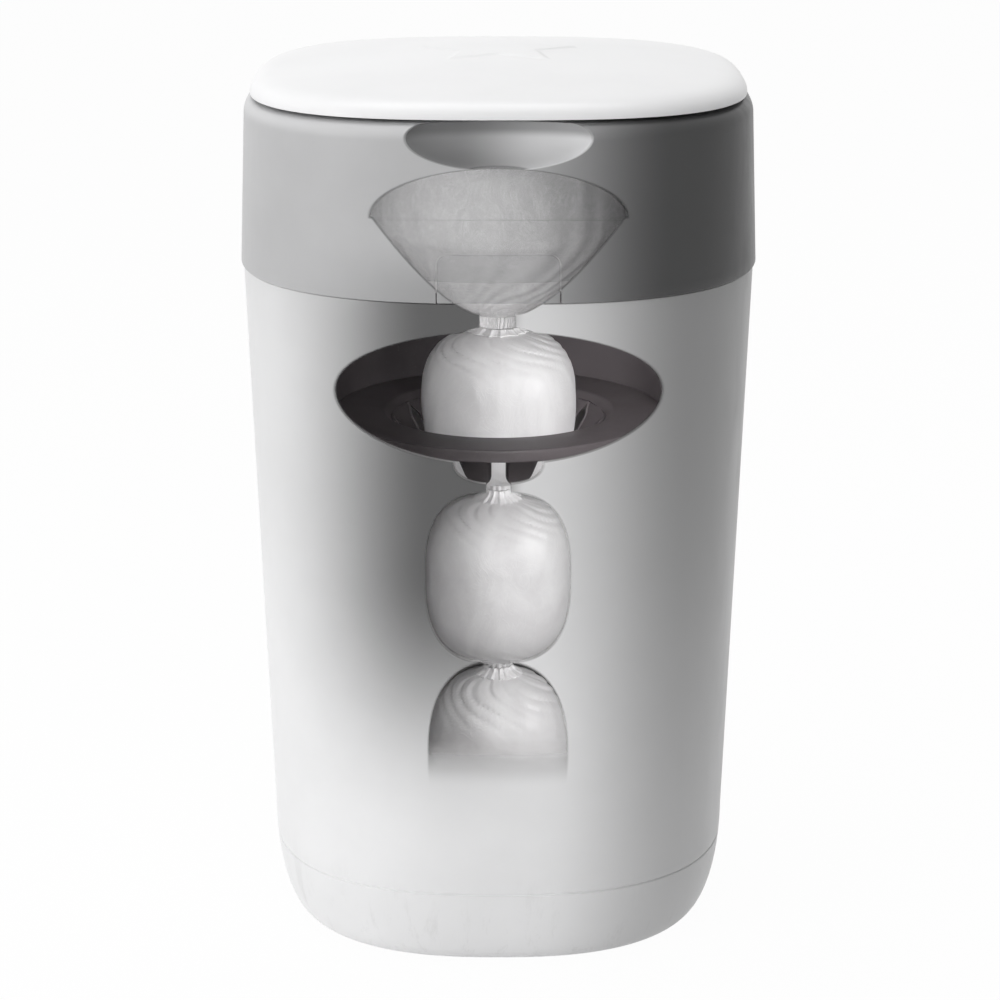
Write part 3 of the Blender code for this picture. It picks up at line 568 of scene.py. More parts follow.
def collar_painted_shade(look, tone, colour):
    """Painted light and shade on the collar: a painted highlight along the shoulder under the lid, a painted
    shade on its right-hand side and on its lower left, and in the scoop's hollow a painted shade on its left
    and under the lid with painted light on its right.
    """
    reach = 0.0
    radii = (scoop_half_width, scoop_depth, scoop_height)
    for axis, middle, radius in zip((look.x, look.y, look.z), scoop_centre(), radii):
        share = (axis - middle) / radius
        reach = share * share + reach
    scoop = look.fall(reach, 1.02, 1.08)
    # Painted highlight along the collar's shoulder, just under the lid.
    tone = look.mix(look.step(look.z, *collar_rim_highlight, 0.0, 0.35), tone, shaded(colour, 1.50))
    # Painted shade on the collar's right-hand side.
    collar_shaded_right = look.mix(right_shade_share(look, collar_right_shade), tone, shaded(colour, 0.17))
    # Painted shade on the collar's lower left, above the tub.
    side = look.step(look.x, *collar_shade_left) * look.fall(look.x, *collar_shade_right)
    side = look.front(side * look.step(look.z, *collar_shade_rise, 0.38, 0.0))
    collar_shaded_right = look.mix(side, collar_shaded_right, shaded(colour, 0.30))
    # Painted shade on the scoop's left and painted light on its right, then a painted shadow of the lid
    # across its top.
    scoop_shading = look.mix(look.step(look.x, *scoop_light_turn), shaded(colour, 0.60), shaded(colour, 1.34))
    scoop_shading = look.mix(look.step(look.z, *scoop_lid_shade, 0.0, 0.62), scoop_shading, shaded(colour, 0.25))
    return look.mix(scoop, collar_shaded_right, scoop_shading)


def tub_painted_shade(look, tone, colour):
    """Painted shade on the tub: a little darker under the collar and on its right-hand side."""
    # Painted shade, darker towards the top of the tub under the collar.
    tone = look.mix(look.step(look.z, *tub_top_shade, 0.0, 0.14), tone, shaded(colour, 0.0))
    # Painted shade on the tub's right-hand side.
    side = right_shade_share(look, tub_right_shade) * look.step(look.z, *tub_right_shade_rise, 0.45, 1.0)
    return look.mix(side, tone, shaded(colour, 0.36))


def tub_outer_wear_and_shade(look, tone, colour):
    """Outside the tub there are also rubbed marks low on the foot, and the painted shade beside the sacks,
    nearly black.
    """
    tone = tub_painted_shade(look, tone, colour)
    marks = look.noise(90.0, 5.0, 0.75, (1.0, 1.0, 0.12), 0.4)
    rubbed = look.fall(look.z, *foot_wear) * look.step(marks, 0.52, 0.70, 0.0, 0.30)
    tone = look.mix(rubbed, tone, grey(0.52, 0.01))
    # Painted shade beside the sacks, nearly black.
    return look.mix(look.front(left_shade(look)), tone, grey(0.006))


def film_look(name, alpha=1.0, window=None):
    """Thin glossy film: soft milky clouds, with fine stretched creases that catch the light."""
    look = Look(bpy.data.materials.new(name))
    broad = look.noise(34.0, 4.0, 0.55, (1.0, 1.0, 0.7), 0.8)
    creases = look.noise(95.0, 5.0, 0.60, (1.0, 1.0, 0.75), 1.8)
    fold = look.fall(abs(creases - 0.5), 0.0, 0.05)
    tone = look.mix(look.step(broad, 0.30, 0.72), (0.90, 0.893, 0.897, 1.0), (0.80, 0.787, 0.795, 1.0))
    tone = look.mix(fold * 0.14, tone, grey(0.94))
    first = look.bump(broad, film_cloud, 0.35)
    second = look.bump(fold, film_crease, 0.25, first)
    look.set(Base_Color=tone, Roughness=look.step(broad, 0.3, 0.7, 0.33, 0.47), Normal=second,
             Subsurface_Weight=0.18, Subsurface_Radius=(film_glow,) * 3, Subsurface_Scale=0.5)
    if alpha < 1:
        look.set(Alpha=look.step(broad, 0.30, 0.70, alpha - 0.10, alpha + 0.10) + fold * 0.15)
    if window:
        look.clear(window(look))
    return look.owner


def rubber_look(name, colour, roughness, window=None, right_painted_light=0):
    """Soft charcoal elastomer: a fine matt grain, faint flow marks and dust, and where asked a painted light
    that grows towards the right-hand side.
    """
    look = Look(bpy.data.materials.new(name))
    cloud = look.noise(26.0, 5.0, 0.6)
    dust = look.noise(700.0, 3.0, 0.7)
    tone = look.mix(look.step(cloud, 0.30, 0.72), shaded(colour, 0.80), shaded(colour, 1.25))
    if right_painted_light:
        # Painted light, paler towards the right-hand side.
        tone = look.mix(look.step(look.x, *rubber_light_turn), tone, shaded(colour, right_painted_light))
    tone = look.mix(look.step(dust, 0.62, 0.78, 0.0, 0.35), tone, grey(0.16, 0.02))
    fine = look.bump(look.noise(1900.0, 3.0, 0.6), rubber_grain, 0.6)
    look.set(Base_Color=tone, Roughness=look.step(cloud, 0.3, 0.7, roughness * 0.85, roughness * 1.15),
             Normal=fine, Specular_IOR_Level=0.2)
    if window:
        look.clear(window(look))
    return look.owner


def steel_look(name, window=None):
    """Drawn steel: lengthwise streaks and light tarnish."""
    look = Look(bpy.data.materials.new(name))
    streak = look.noise(700.0, 3.0, 0.6, (0.06, 1.0, 1.0))
    stain = look.noise(90.0, 4.0, 0.6)
    tone = look.mix(look.step(streak, 0.3, 0.7), (0.60, 0.60, 0.61, 1.0), (0.72, 0.72, 0.73, 1.0))
    tone = look.mix(look.step(stain, 0.55, 0.75, 0.0, 0.30), tone, (0.40, 0.38, 0.36, 1.0))
    look.set(Base_Color=tone, Roughness=look.step(streak, 0.3, 0.7, 0.20, 0.38),
             Normal=look.bump(streak, steel_grain, 0.5), Metallic=1.0)
    if window:
        look.clear(window(look))
    return look.owner


# Shapes

def plan_point(half, height, power, angle):
    across = math.cos(angle)
    along = math.sin(angle)
    reach = half / (abs(across) ** power + abs(along) ** power) ** (1 / power)
    return Vector((reach * across, reach * along, height))


def plan_ring(half, height, power, steps):
    if half <= 0:
        return [Vector((0, 0, height))]
    return [plan_point(half, height, power, 2 * math.pi * step / steps) for step in range(steps)]


def swept(rows, steps=shell_steps):
    """Rings of points from a profile of (half, height, power)."""
    return [plan_ring(half, height, power, steps) for half, height, power in rows]


def skin(name, rings, materials, closed=False, band_slots=None):
    """A smooth surface through rings of points; closed joins the last ring to the first."""
    mesh_data = bmesh.new()
    lines = [[mesh_data.verts.new(point) for point in ring] for ring in rings]
    bands = list(zip(lines, lines[1:]))
    if closed:
        bands.append((lines[-1], lines[0]))
    for index, (first, second) in enumerate(bands):
        for step in range(max(len(first), len(second))):
            corners = []
            for line, turn in ((first, step), (first, step + 1), (second, step + 1), (second, step)):
                vertex = line[turn % len(line)]
                if vertex not in corners:
                    corners.append(vertex)
            if len(corners) > 2:
                face = mesh_data.faces.new(corners)
                face.material_index = band_slots[index] if band_slots else 0
    if closed or (len(rings[0]) == 1 and len(rings[-1]) == 1):
        bmesh.ops.recalc_face_normals(mesh_data, faces=mesh_data.faces)
    return finished(name, mesh_data, materials)


def smoothed(mesh):
    """Shades the mesh smooth between its sharp edges."""
    mesh.shade_smooth()
    mesh.set_sharp_from_angle(angle=math.radians(42))


def finished(name, mesh_data, materials):
    mesh = bpy.data.meshes.new(name)
    mesh_data.to_mesh(mesh)
    mesh_data.free()
    smoothed(mesh)
    for material in materials:
        mesh.materials.append(material)
    piece = bpy.data.objects.new(name, mesh)
    bpy.context.scene.collection.objects.link(piece)
    return piece


def softened(rows, radius, closed=True):
    """A profile of (half, height, power) with its corners rounded."""
    result = []
    for index, row in enumerate(rows):
        power = row[2] if len(row) > 2 else round_power
        corner = Vector(row[:2])
        before = Vector(rows[index - 1][:2]) - corner
        after = Vector(rows[(index + 1) % len(rows)][:2]) - corner
        flat = min(before.length, after.length) < gap / 3 or before.angle(after) > math.radians(176)
        if flat or (not closed and index in (0, len(rows) - 1)):
            result.append((corner.x, corner.y, power))
            continue
        reach = min(radius, before.length * 0.45, after.length * 0.45)
        start = corner + before.normalized() * reach
        end = corner + after.normalized() * reach
        for step in range(5):
            share = step / 4
            point = start * (1 - share) ** 2 + corner * 2 * share * (1 - share) + end * share ** 2
            result.append((max(0, point.x), point.y, power))
    return result


def turned(name, rows, material, edge, steps=turned_steps):
    """A closed profile turned about the middle, with small rounded edges."""
    return skin(name, swept(softened(rows, edge), steps), [material], True)


def arc(centre, radii, first_degrees, last_degrees, count):
    wide, high = radii if isinstance(radii, tuple) else (radii, radii)
    points = []
    for step in range(count + 1):
        angle = math.radians(first_degrees + (last_degrees - first_degrees) * step / count)
        points.append((centre[0] + wide * math.cos(angle), centre[1] + high * math.sin(angle)))
    return points


def prism(name, outline, start, end, axis, materials=()):
    """An outline extruded along an axis: (y, z) pairs along X, (x, z) along Y, (x, y) along Z."""
    place = {
        "X": lambda point, depth: (depth, point[0], point[1]),
        "Y": lambda point, depth: (point[0], depth, point[1]),
        "Z": lambda point, depth: (point[0], point[1], depth),
    }[axis]
    mesh_data = bmesh.new()
    near = [mesh_data.verts.new(place(point, start)) for point in outline]
    far = [mesh_data.verts.new(place(point, end)) for point in outline]
    mesh_data.faces.new(near)
    mesh_data.faces.new(far)
    for index in range(len(near)):
        after = (index + 1) % len(near)
        mesh_data.faces.new((near[index], near[after], far[after], far[index]))
    bmesh.ops.recalc_face_normals(mesh_data, faces=mesh_data.faces)
    return finished(name, mesh_data, materials)


def rectangle(low, high):
    return [(low[0], low[1]), (high[0], low[1]), (high[0], high[1]), (low[0], high[1])]


def rod(name, centre, radius, start, end, axis, steps=32):
    return prism(name, arc(centre, radius, 0, 360, steps)[:-1], start, end, axis)


def ellipsoid(name, centre, radii, steps):
    mesh_data = bmesh.new()
    place = Matrix.Translation(centre) @ Matrix.Diagonal((*radii, 1))
    bmesh.ops.create_uvsphere(mesh_data, u_segments=steps, v_segments=steps // 2, radius=1, matrix=place)
    return finished(name, mesh_data, ())


def applied(piece):
    """The piece with its modifiers made part of its mesh."""
    graph = bpy.context.evaluated_depsgraph_get()
    mesh = bpy.data.meshes.new_from_object(piece.evaluated_get(graph))
    piece.modifiers.clear()
    piece.data = mesh
    return piece


def cut(piece, tool, operation="DIFFERENCE"):
    """Cuts the tool from the piece, or keeps what both share, and removes the tool."""
    modifier = piece.modifiers.new(tool.name, "BOOLEAN")
    modifier.operation = operation
    modifier.object = tool
    modifier.solver = "EXACT"
    applied(piece)
    bpy.data.objects.remove(tool, do_unlink=True)
    return piece


def joined(piece, others):
    """The other pieces' meshes added to the first one's, by material slot number."""
    mesh_data = bmesh.new()
    mesh_data.from_mesh(piece.data)
    for other in others:
        mesh_data.from_mesh(other.data)
        bpy.data.objects.remove(other, do_unlink=True)
    mesh_data.to_mesh(piece.data)
    mesh_data.free()
    return piece


def edged(piece, width=fine_edge):
    """Rounds the piece's sharp edges and shades it smooth."""
    modifier = piece.modifiers.new("edge", "BEVEL")
    modifier.width = width
    modifier.segments = 2
    modifier.limit_method = "ANGLE"
    modifier.angle_limit = math.radians(38)
    modifier.use_clamp_overlap = True
    applied(piece)
    smoothed(piece.data)
    return piece


def turned_copies(piece, count):
    """The piece repeated about the Z axis, in one mesh, half a step on."""
    mesh_data = bmesh.new()
    for index in range(count):
        mesh = piece.data.copy()
        mesh.transform(Matrix.Rotation(2 * math.pi * (index + 0.5) / count, 4, "Z"))
        mesh_data.from_mesh(mesh)
        bpy.data.meshes.remove(mesh)
    mesh_data.to_mesh(piece.data)
    mesh_data.free()
    return piece


def dress(piece, body, slot, *nodes):
    """Puts the piece on its body, in place of the CAD nodes that it stands for."""
    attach(piece, body)
    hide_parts(*nodes)


def smooth_share(value, low, high):
    share = min(1, max(0, (value - low) / (high - low)))
    return share * share * (3 - 2 * share)


# Tub

def tub_half(height):
    slope = (tub_top_half - tub_low_half) / (tub_height - foot_rise)
    return tub_low_half + slope * (height - foot_rise)


def foot_half(height):
    return tub_low_half - foot_inset * (1 - math.sqrt(1 - (1 - height / foot_rise) ** 2))


def make_tub(outside, inside):
    foot_centre = (tub_low_half - foot_inset, foot_rise)
    foot = arc(foot_centre, (foot_inset, foot_rise), -90, 0, 40)
    crease_top = crease_height + crease_width
    outer = [point for point in foot if not crease_height < point[1] < crease_top]
    for step in range(9):
        share = step / 8
        height = crease_height + crease_width * share
        depth = crease_depth * math.sin(math.pi * share) ** 2
        outer.append((foot_half(height) - depth, height))
    outer.sort(key=lambda point: point[1])
    wall_rows = 22
    for step in range(1, wall_rows + 1):
        height = foot_rise + (tub_height - foot_rise) * step / wall_rows
        outer.append((tub_half(height), height))
    inner_radii = (foot_inset - tub_wall / 2, foot_rise - tub_floor)
    inner_centre = (tub_low_half - tub_wall - inner_radii[0], foot_rise)
    inner = [(tub_top_half - tub_wall, tub_height)]
    for step in range(1, 8):
        height = tub_height - (tub_height - foot_rise) * step / 8
        inner.append((tub_half(height) - tub_wall, height))
    inner += arc(inner_centre, inner_radii, 0, -90, 16)
    rows = softened([(half, height, tub_power) for half, height in outer + inner], rim_round, False)
    rows = [(0, 0, tub_power), *rows, (0, tub_floor, tub_power)]
    top = max(range(len(rows)), key=lambda index: rows[index][1])
    slots = [0 if index < top + 3 else 1 for index in range(len(rows) - 1)]
    tub = skin("tub_shell", swept(rows), [outside, inside], False, slots)
    root = tub_top_half - tub_wall / 2
    outline = [
        (root, tub_height - tub_lug_drop),
        *arc((head_axis_y, head_axis_z), head_barrel_radius, -90, 180, 30),
        (head_axis_y - head_barrel_radius, tub_height),
        (root, tub_height),
    ]
    near = head_knuckle_half + gap
    for start in (near, -near - tub_knuckle_length):
        knuckle = prism("knuckle", outline, start, start + tub_knuckle_length, "X")
        joined(tub, [edged(knuckle, knuckle_edge)])
    dress(tub, "tub", "tub_plastic", "tub")


# Collar and release tab

def collar_outer(height):
    return collar_half - collar_draft * (height - collar_bottom) / collar_height


def collar_power(height):
    return tub_power + (lid_power - tub_power) * (height - collar_bottom) / collar_height


def tab_outline(grown):
    across = tab_half_width + grown
    top = collar_bottom + tab_height + grown
    low = collar_bottom - overrun if grown else collar_bottom + gap
    right = arc((across - tab_corner, top - tab_corner), tab_corner, 0, 90, 12)
    left = arc((tab_corner - across, top - tab_corner), tab_corner, 90, 180, 12)
    return [(across, low), *right, *left, (-across, low)]


def collar_skin(drawn_in, low, high):
    """Rings of the collar's wall between two heights."""
    rows = []
    for step in range(collar_rows + 1):
        height = low + (high - low) * step / collar_rows
        rows.append((collar_outer(height) - drawn_in, height, collar_power(height)))
    return swept(rows)


def make_collar(material):
    shoulder_base = collar_top - shoulder_height
    crown_centre = (collar_outer(shoulder_base) - shoulder_width, shoulder_base)
    crown = arc(crown_centre, (shoulder_width, shoulder_height), 0, 90, 12)
    inner = collar_half - collar_wall
    rows = [(inner, collar_bottom, tub_power), (collar_half - rim_round, collar_bottom, tub_power),
            (collar_half - rim_round / 3, collar_bottom + rim_round / 3, tub_power)]
    for step in range(collar_rows):
        height = collar_bottom + rim_round + (shoulder_base - collar_bottom - rim_round) * step / collar_rows
        rows.append((collar_outer(height), height, collar_power(height)))
    rows += [(half, height, collar_power(height)) for half, height in crown]
    rows += [
        (well_radius + rim_round, collar_top, round_power),
        (well_radius, collar_top - rim_round, round_power),
        (well_radius, well_bottom, round_power),
        (inner, well_bottom, tub_power),
    ]
    collar = skin("collar_shell", swept(rows), [material], True)
    cut(collar, collar_cavity())
    scoop = ellipsoid("scoop", scoop_centre(), (scoop_half_width, scoop_depth, scoop_height), 96)
    cut(collar, scoop)
    notch_front = lid_axis_y - lid_barrel_radius - running_gap - gap
    notch_floor = lid_axis_z - lid_barrel_radius - running_gap
    half = lid_knuckle_half + gap
    outline = rectangle((notch_front, notch_floor), (collar_half + overrun, collar_top + overrun))
    cut(collar, prism("notch", outline, -half, half, "X"))
    back = -(collar_half - collar_wall - overrun)
    hole = prism("tab_hole", tab_outline(tab_gap), -(collar_half + overrun), back, "Y")
    cut(collar, hole)
    reach = lid_knuckle_half + lid_pin_grip + gap
    bore = rod("bore", (lid_axis_y, lid_axis_z), lid_pin_radius + gap, -reach, reach, "X", 20)
    cut(collar, bore)
    for side in (-1, 1):
        near = head_knuckle_half + gap / 2
        far = head_knuckle_half + tub_knuckle_length + running_gap
        ends = sorted((side * near, side * far))
        room = rod("room", (head_axis_y, head_axis_z), head_barrel_radius + running_gap, *ends, "X")
        cut(collar, room)
    root = collar_half - collar_wall / 2
    outline = [
        (root, head_axis_z - head_barrel_radius / 2),
        *arc((head_axis_y, head_axis_z), head_barrel_radius, 210, 450, 30),
        (root, head_axis_z + head_lug_rise),
    ]
    edged(collar, knuckle_edge)
    knuckle = prism("knuckle", outline, -head_knuckle_half, head_knuckle_half, "X")
    joined(collar, [edged(knuckle, knuckle_edge)])
    dress(collar, "head", "collar_plastic", "collar")


def scoop_centre():
    return (0, -collar_outer(collar_top), collar_top - scoop_drop)


def collar_cavity():
    """The hollow between the collar's outer wall and its well, clear of the scoop and the hinge."""
    top = collar_top - collar_roof
    base = well_bottom - overrun
    shoulder = top - shoulder_height
    rows = [
        (well_radius + well_wall, base, round_power),
        (well_radius + well_wall, top, round_power),
        (collar_outer(top) - shoulder_width, top, collar_power(top)),
        (collar_outer(shoulder) - collar_wall, shoulder, collar_power(top)),
        (collar_outer(base) - collar_wall, base, collar_power(base)),
    ]
    cavity = skin("cavity", swept(rows, cut_steps), [], True)
    radii = tuple(radius + scoop_wall for radius in (scoop_half_width, scoop_depth, scoop_height))
    cut(cavity, ellipsoid("pocket", scoop_centre(), radii, 48))
    reach = lid_knuckle_half + lid_pin_grip + hinge_block_wall
    low = (lid_axis_y - lid_barrel_radius - running_gap - gap - hinge_block_wall,
           lid_axis_z - lid_barrel_radius - running_gap - hinge_block_wall)
    high = (collar_half + overrun, collar_top + overrun)
    cut(cavity, prism("block", rectangle(low, high), -reach, reach, "X"))
    return cavity


def make_tab(material, arm_material):
    low = collar_bottom - overrun
    high = collar_bottom + tab_height + overrun
    inner = collar_skin(collar_wall - gap, low, high)
    wall = skin("tab_face", collar_skin(0, low, high) + inner[::-1], [material, arm_material], True)
    block = prism("tab_block", tab_outline(0), -(collar_half + overrun), -(well_radius + well_wall), "Y")
    edged(cut(wall, block, "INTERSECT"))
    arm_front = hook_front - hook_nose
    arm_back = arm_front - arm_wall
    face_back = collar_half - collar_wall
    bridge_low = collar_bottom + gap + running_gap
    hook_low = tub_height - hook_drop
    nose_top = hook_low + hook_nose_height
    outline = [
        (-(face_back + collar_wall / 2), bridge_low),
        (-arm_front, bridge_low),
        (-arm_front, nose_top + hook_nose),
        (-hook_front, nose_top),
        (-hook_front, hook_low),
        (-arm_back, hook_low),
        (-arm_back, bridge_low + arm_rise),
        (-(face_back + collar_wall / 2), bridge_low + arm_rise),
    ]
    arm = edged(prism("tab_arm", outline, -arm_half_width, arm_half_width, "X"))
    spigot = rod("tab_spigot", (0, collar_bottom + spring_height), spigot_radius,
                 -(face_back + collar_wall / 2), -(face_back - spigot_length), "Y")
    for part in (arm, spigot):
        for face in part.data.polygons:
            face.material_index = 1
    joined(wall, [arm, edged(spigot, spigot_edge)])
    dress(wall, "tab", "collar_plastic", "release_tab")


# Lid

def lid_profile(inset, crown_rows):
    """From the lid's edge up to its middle: (half, height)."""
    edge = arc((lid_half - lid_edge_width, lid_bottom), (lid_edge_width - inset, lid_edge_height - inset),
               0, lid_edge_turn, 14)
    crown_half, crown_base = edge[-1]
    rise = lid_top - inset - crown_base
    points = list(edge)
    for step in range(1, crown_rows):
        share = 1 - step / crown_rows
        points.append((crown_half * share, crown_base + rise * (1 - share ** 2)))
    for _ in range(6):
        for index in range(10, 20):
            middle = (points[index - 1][1] + points[index + 1][1]) / 2
            points[index] = (points[index][0], (points[index][1] + middle) / 2)
    return points + [(0, lid_top - inset)]


def star_share(place):
    """1 on the star, falling to 0 over its sloped edge."""
    angle = math.atan2(place.x, place.y)
    reach = math.hypot(place.x, place.y)
    sector = math.pi / 5
    local = abs((angle + sector) % (2 * sector) - sector)
    tip = Vector((star_radius, 0))
    valley = Vector((math.cos(sector), math.sin(sector))) * star_radius * star_inner_share
    point = Vector((math.cos(local), math.sin(local))) * reach
    edge = valley - tip
    outward = Vector((-edge.y, edge.x)).normalized()
    if outward.dot(tip) < 0:
        outward = -outward
    distance = (point - tip).dot(outward)
    return 1 - smooth_share(distance, -star_slope, 0)


def make_lid(material):
    outside = lid_profile(0, 96)
    inside = lid_profile(lid_wall, 24)
    rows = [(0, lid_top)] + outside[-2::-1] + inside
    rows = [(half, height, lid_power) for half, height in rows]
    lid = skin("lid_dome", swept(rows), [material])
    for vertex in lid.data.vertices:
        place = vertex.co
        if place.z > lid_top - lid_wall * 1.6 and math.hypot(place.x, place.y) < star_radius:
            place.z += star_rise * star_share(place)
    foot_top = lid_bottom + lid_knuckle_foot
    outline = [
        (lid_half - lid_wall / 2, foot_top),
        *arc((lid_axis_y, lid_axis_z), lid_barrel_radius, 180, 420, 30),
        (lid_half - gap, lid_bottom + gap),
        (lid_half - gap, foot_top),
    ]
    knuckle = prism("lid_knuckle", outline, -lid_knuckle_half, lid_knuckle_half, "X", [material])
    joined(lid, [edged(knuckle)])
    dress(lid, "lid", "lid_plastic", "lid_shell")


def make_liner(material):
    base = lid_bottom + gap
    outer = lid_half - lid_wall - gap
    groove_in = seal_radius - seal_width / 2 - gap
    groove_out = seal_radius + seal_width / 2 + gap
    rows = [(0, base, round_power)]
    rows += [(radius + out, base + up) for radius in liner_grooves for out, up in liner_groove]
    rows += [
        (groove_in, base),
        (groove_in, base + seal_seat + gap),
        (groove_out, base + seal_seat + gap),
        (groove_out, base),
        (outer, base, lid_power),
        (outer * liner_top_share, base + liner_plate, lid_power),
        (0, base + liner_plate, lid_power),
    ]
    liner = skin("lid_inner_panel", swept(softened(rows, fine_edge, False)), [material])
    dress(liner, "lid", "inner_plastic", "lid_liner")


def make_seal(material):
    base = collar_top + gap
    top = lid_bottom + gap + seal_seat
    half_width = seal_width / 2
    rows = arc((seal_radius, base + half_width), half_width, -180, 0, 16)
    rows += [(seal_radius + half_width, top), (seal_radius - half_width, top)]
    rings = [plan_ring(half, height, round_power, turned_steps) for half, height in rows]
    dress(skin("lid_seal_bead", rings, [material], True), "lid", "seal_rubber", "lid_seal")


# Ring and cassette

def make_ring(material):
    inner_wall = ring_well_radius + ring_wall
    under = ring_bottom + ring_floor_height
    rows = [
        (ring_radius, ring_top),
        (ring_radius, ring_bottom),
        (ring_radius - ring_wall, ring_bottom),
        (ring_radius - ring_wall, ring_top - ring_wall),
        (inner_wall, ring_top - ring_wall),
        (inner_wall, under),
        (ring_floor_hole, under),
        (ring_floor_hole, ring_seat),
        (ring_well_radius, ring_seat),
        (ring_well_radius, ring_top),
    ]
    ring = turned("twist_ring_shell", rows, material, ring_edge)
    half = cutter_stem_width / 2 + gap
    low = (ring_well_radius - overrun, ring_top - cutter_slot_depth)
    high = (ring_well_radius + cutter_slot_length, ring_top + overrun)
    cut(ring, prism("cutter_slot", rectangle(low, high), -half, half, "X"))
    smoothed(ring.data)
    middle = (ring_radius + ring_well_radius) / 2
    rib = ellipsoid("rib", (middle, 0, ring_top), (rib_length / 2, rib_radius, rib_radius), 24)
    turned_copies(rib, rib_count)
    joined(ring, [rib])
    dress(ring, "ring", "inner_plastic", "twist_ring")


def make_tray(material):
    outer = ring_well_radius - gap
    floor_top = tray_bottom + tray_floor
    rows = [
        (outer, tray_top),
        (outer, tray_bottom),
        (tray_inner_radius, tray_bottom),
        (tray_inner_radius, tray_bottom + tray_inner_height),
        (tray_inner_radius + tray_wall, tray_bottom + tray_inner_height),
        (tray_inner_radius + tray_wall, floor_top),
        (outer - tray_wall, floor_top),
        (outer - tray_wall, tray_top),
    ]
    tray = turned("cassette_body", rows, material, cassette_edge)
    dress(tray, "ring", "lid_plastic", "cassette_tray")


def make_cap(material):
    outer = ring_well_radius - gap
    base = tray_top + gap
    top = base + cap_plate
    lip_out = cap_inner_radius + cap_lip_width
    rows = [(outer, top), (outer, base), (lip_out, base), (lip_out, base - cap_lip),
            (cap_inner_radius, base - cap_lip), (cap_inner_radius, top)]
    rows += [(radius + out, top + up) for radius in cap_grooves for out, up in cap_groove]
    cap = turned("cassette_lid", rows, material, cassette_edge)
    dress(cap, "ring", "lid_plastic", "cassette_cap")


def make_pack(material):
    """Film laid in tight zigzag layers, a little uneven from layer to layer."""
    inner = tray_inner_radius + tray_wall + gap
    outer = ring_well_radius - gap - tray_wall - film_space
    base = tray_bottom + tray_floor + gap
    top = tray_bottom + tray_inner_height - film_space
    layers = 52
    drawn = [layer_fold if step % 2 else layer_tuck for step in range(layers + 1)]
    rows = [((inner + outer) / 2, base)]
    rows += [(outer - inward, base + (top - base) * step / layers) for step, inward in enumerate(drawn)]
    folds = 20
    for step in range(1, folds):
        drop = layer_drop if step % 2 else 0.0
        rows.append((outer + (inner - outer) * step / folds, top - drop))
    rows += [(inner + inward, top - (top - base) * step / layers) for step, inward in enumerate(drawn)]
    rings = []
    for index, (half, height) in enumerate(rows):
        ring = plan_ring(half, height, round_power, turned_steps)
        for point in ring:
            swing = noise.noise(Vector((point.x * 90, point.y * 90, index * 0.7)))
            point.z = min(top, max(base, point.z + swing * layer_swing))
        rings.append(ring)
    dress(skin("film_store", rings, [material], True), "ring", "film", "film_pack")


def make_basket(material):
    rim_top = deck_top + gap + basket_rim
    bore = basket_radius - basket_wall
    lip_base = disc_lip_top - basket_lip
    rows = [
        (basket_rim_radius, rim_top),
        (basket_rim_radius, deck_top + gap),
        (basket_radius, deck_top + gap),
        (basket_radius, lip_base),
        (bore - basket_lip_width, lip_base),
        (bore - basket_lip_width, disc_lip_top),
        (bore, disc_lip_top),
        (bore, rim_top),
    ]
    basket = turned("basket_shell", rows, material, cassette_edge)
    dress(basket, "head", "inner_plastic", "gripper_basket")


# Gripper disc

def petal_radius(height):
    share = (disc_top - height) / petal_drop
    return petal_root_radius - (petal_root_radius - petal_tip_radius) * share


def petal(material, angle_middle):
    """One petal: a rounded strip of the cone, from the slots' upper ends to its round tip."""
    root_z = disc_top - slot_top_drop + petal_root_rise
    tip_z = disc_top - petal_drop
    pitch = math.pi / petal_count
    rows = 30
    across = 10
    lean = math.atan2(petal_drop, petal_root_radius - petal_tip_radius)
    rings = []
    for row in range(rows + 1):
        share = row / rows
        height = root_z + (tip_z - root_z) * share
        inner = petal_radius(height)
        along = (root_z - height) / (root_z - tip_z)
        half = inner * pitch - slot_width / 2 * smooth_share(along, 0.02, 0.26)
        tip_room = (1 - share) * (root_z - tip_z) / half
        if tip_room < 1:
            half *= math.sqrt(max(0.0, 1 - (1 - tip_room) ** 2)) * 0.999 + 0.001
        ring = []
        for side in (1, -1):
            for step in range(across + 1):
                offset = side * (2 * step / across - 1)
                bulge = (1 - abs(offset) ** 6) ** 0.5
                depth = petal_wall * bulge if side < 0 else 0.0
                radius = inner + depth * math.sin(lean) + petal_wall / 4 * (1 - bulge) * side
                angle = angle_middle + offset * half / inner
                ring.append(Vector((radius * math.cos(angle), radius * math.sin(angle),
                                    height - depth * math.cos(lean))))
        rings.append(ring)
    rings.insert(0, [sum(rings[0], Vector()) / len(rings[0])])
    rings.append([sum(rings[-1], Vector()) / len(rings[-1])])
    return skin("petal", rings, [material])


def make_disc(material):
    skirt_in = disc_radius - disc_skirt_wall
    under = disc_top - disc_plate
    band_z = disc_top - slot_top_drop
    band = petal_radius(band_z)
    rows = [
        (disc_radius, disc_top),
        (disc_radius, disc_top - disc_skirt),
        (skirt_in, disc_top - disc_skirt),
        (skirt_in, under),
        (petal_root_radius + petal_wall / 2, under),
        (band + petal_wall * 0.83, band_z - petal_wall * 0.56),
        (band, band_z),
        (petal_root_radius + petal_wall, disc_top),
    ]
    disc = turned("gripper_plate", rows, material, disc_edge, disc_steps)
    angles = [2 * math.pi * (index + 0.5) / petal_count for index in range(petal_count)]
    joined(disc, [petal(material, angle) for angle in angles])
    dress(disc, "head", "gripper_rubber", "gripper_disc")


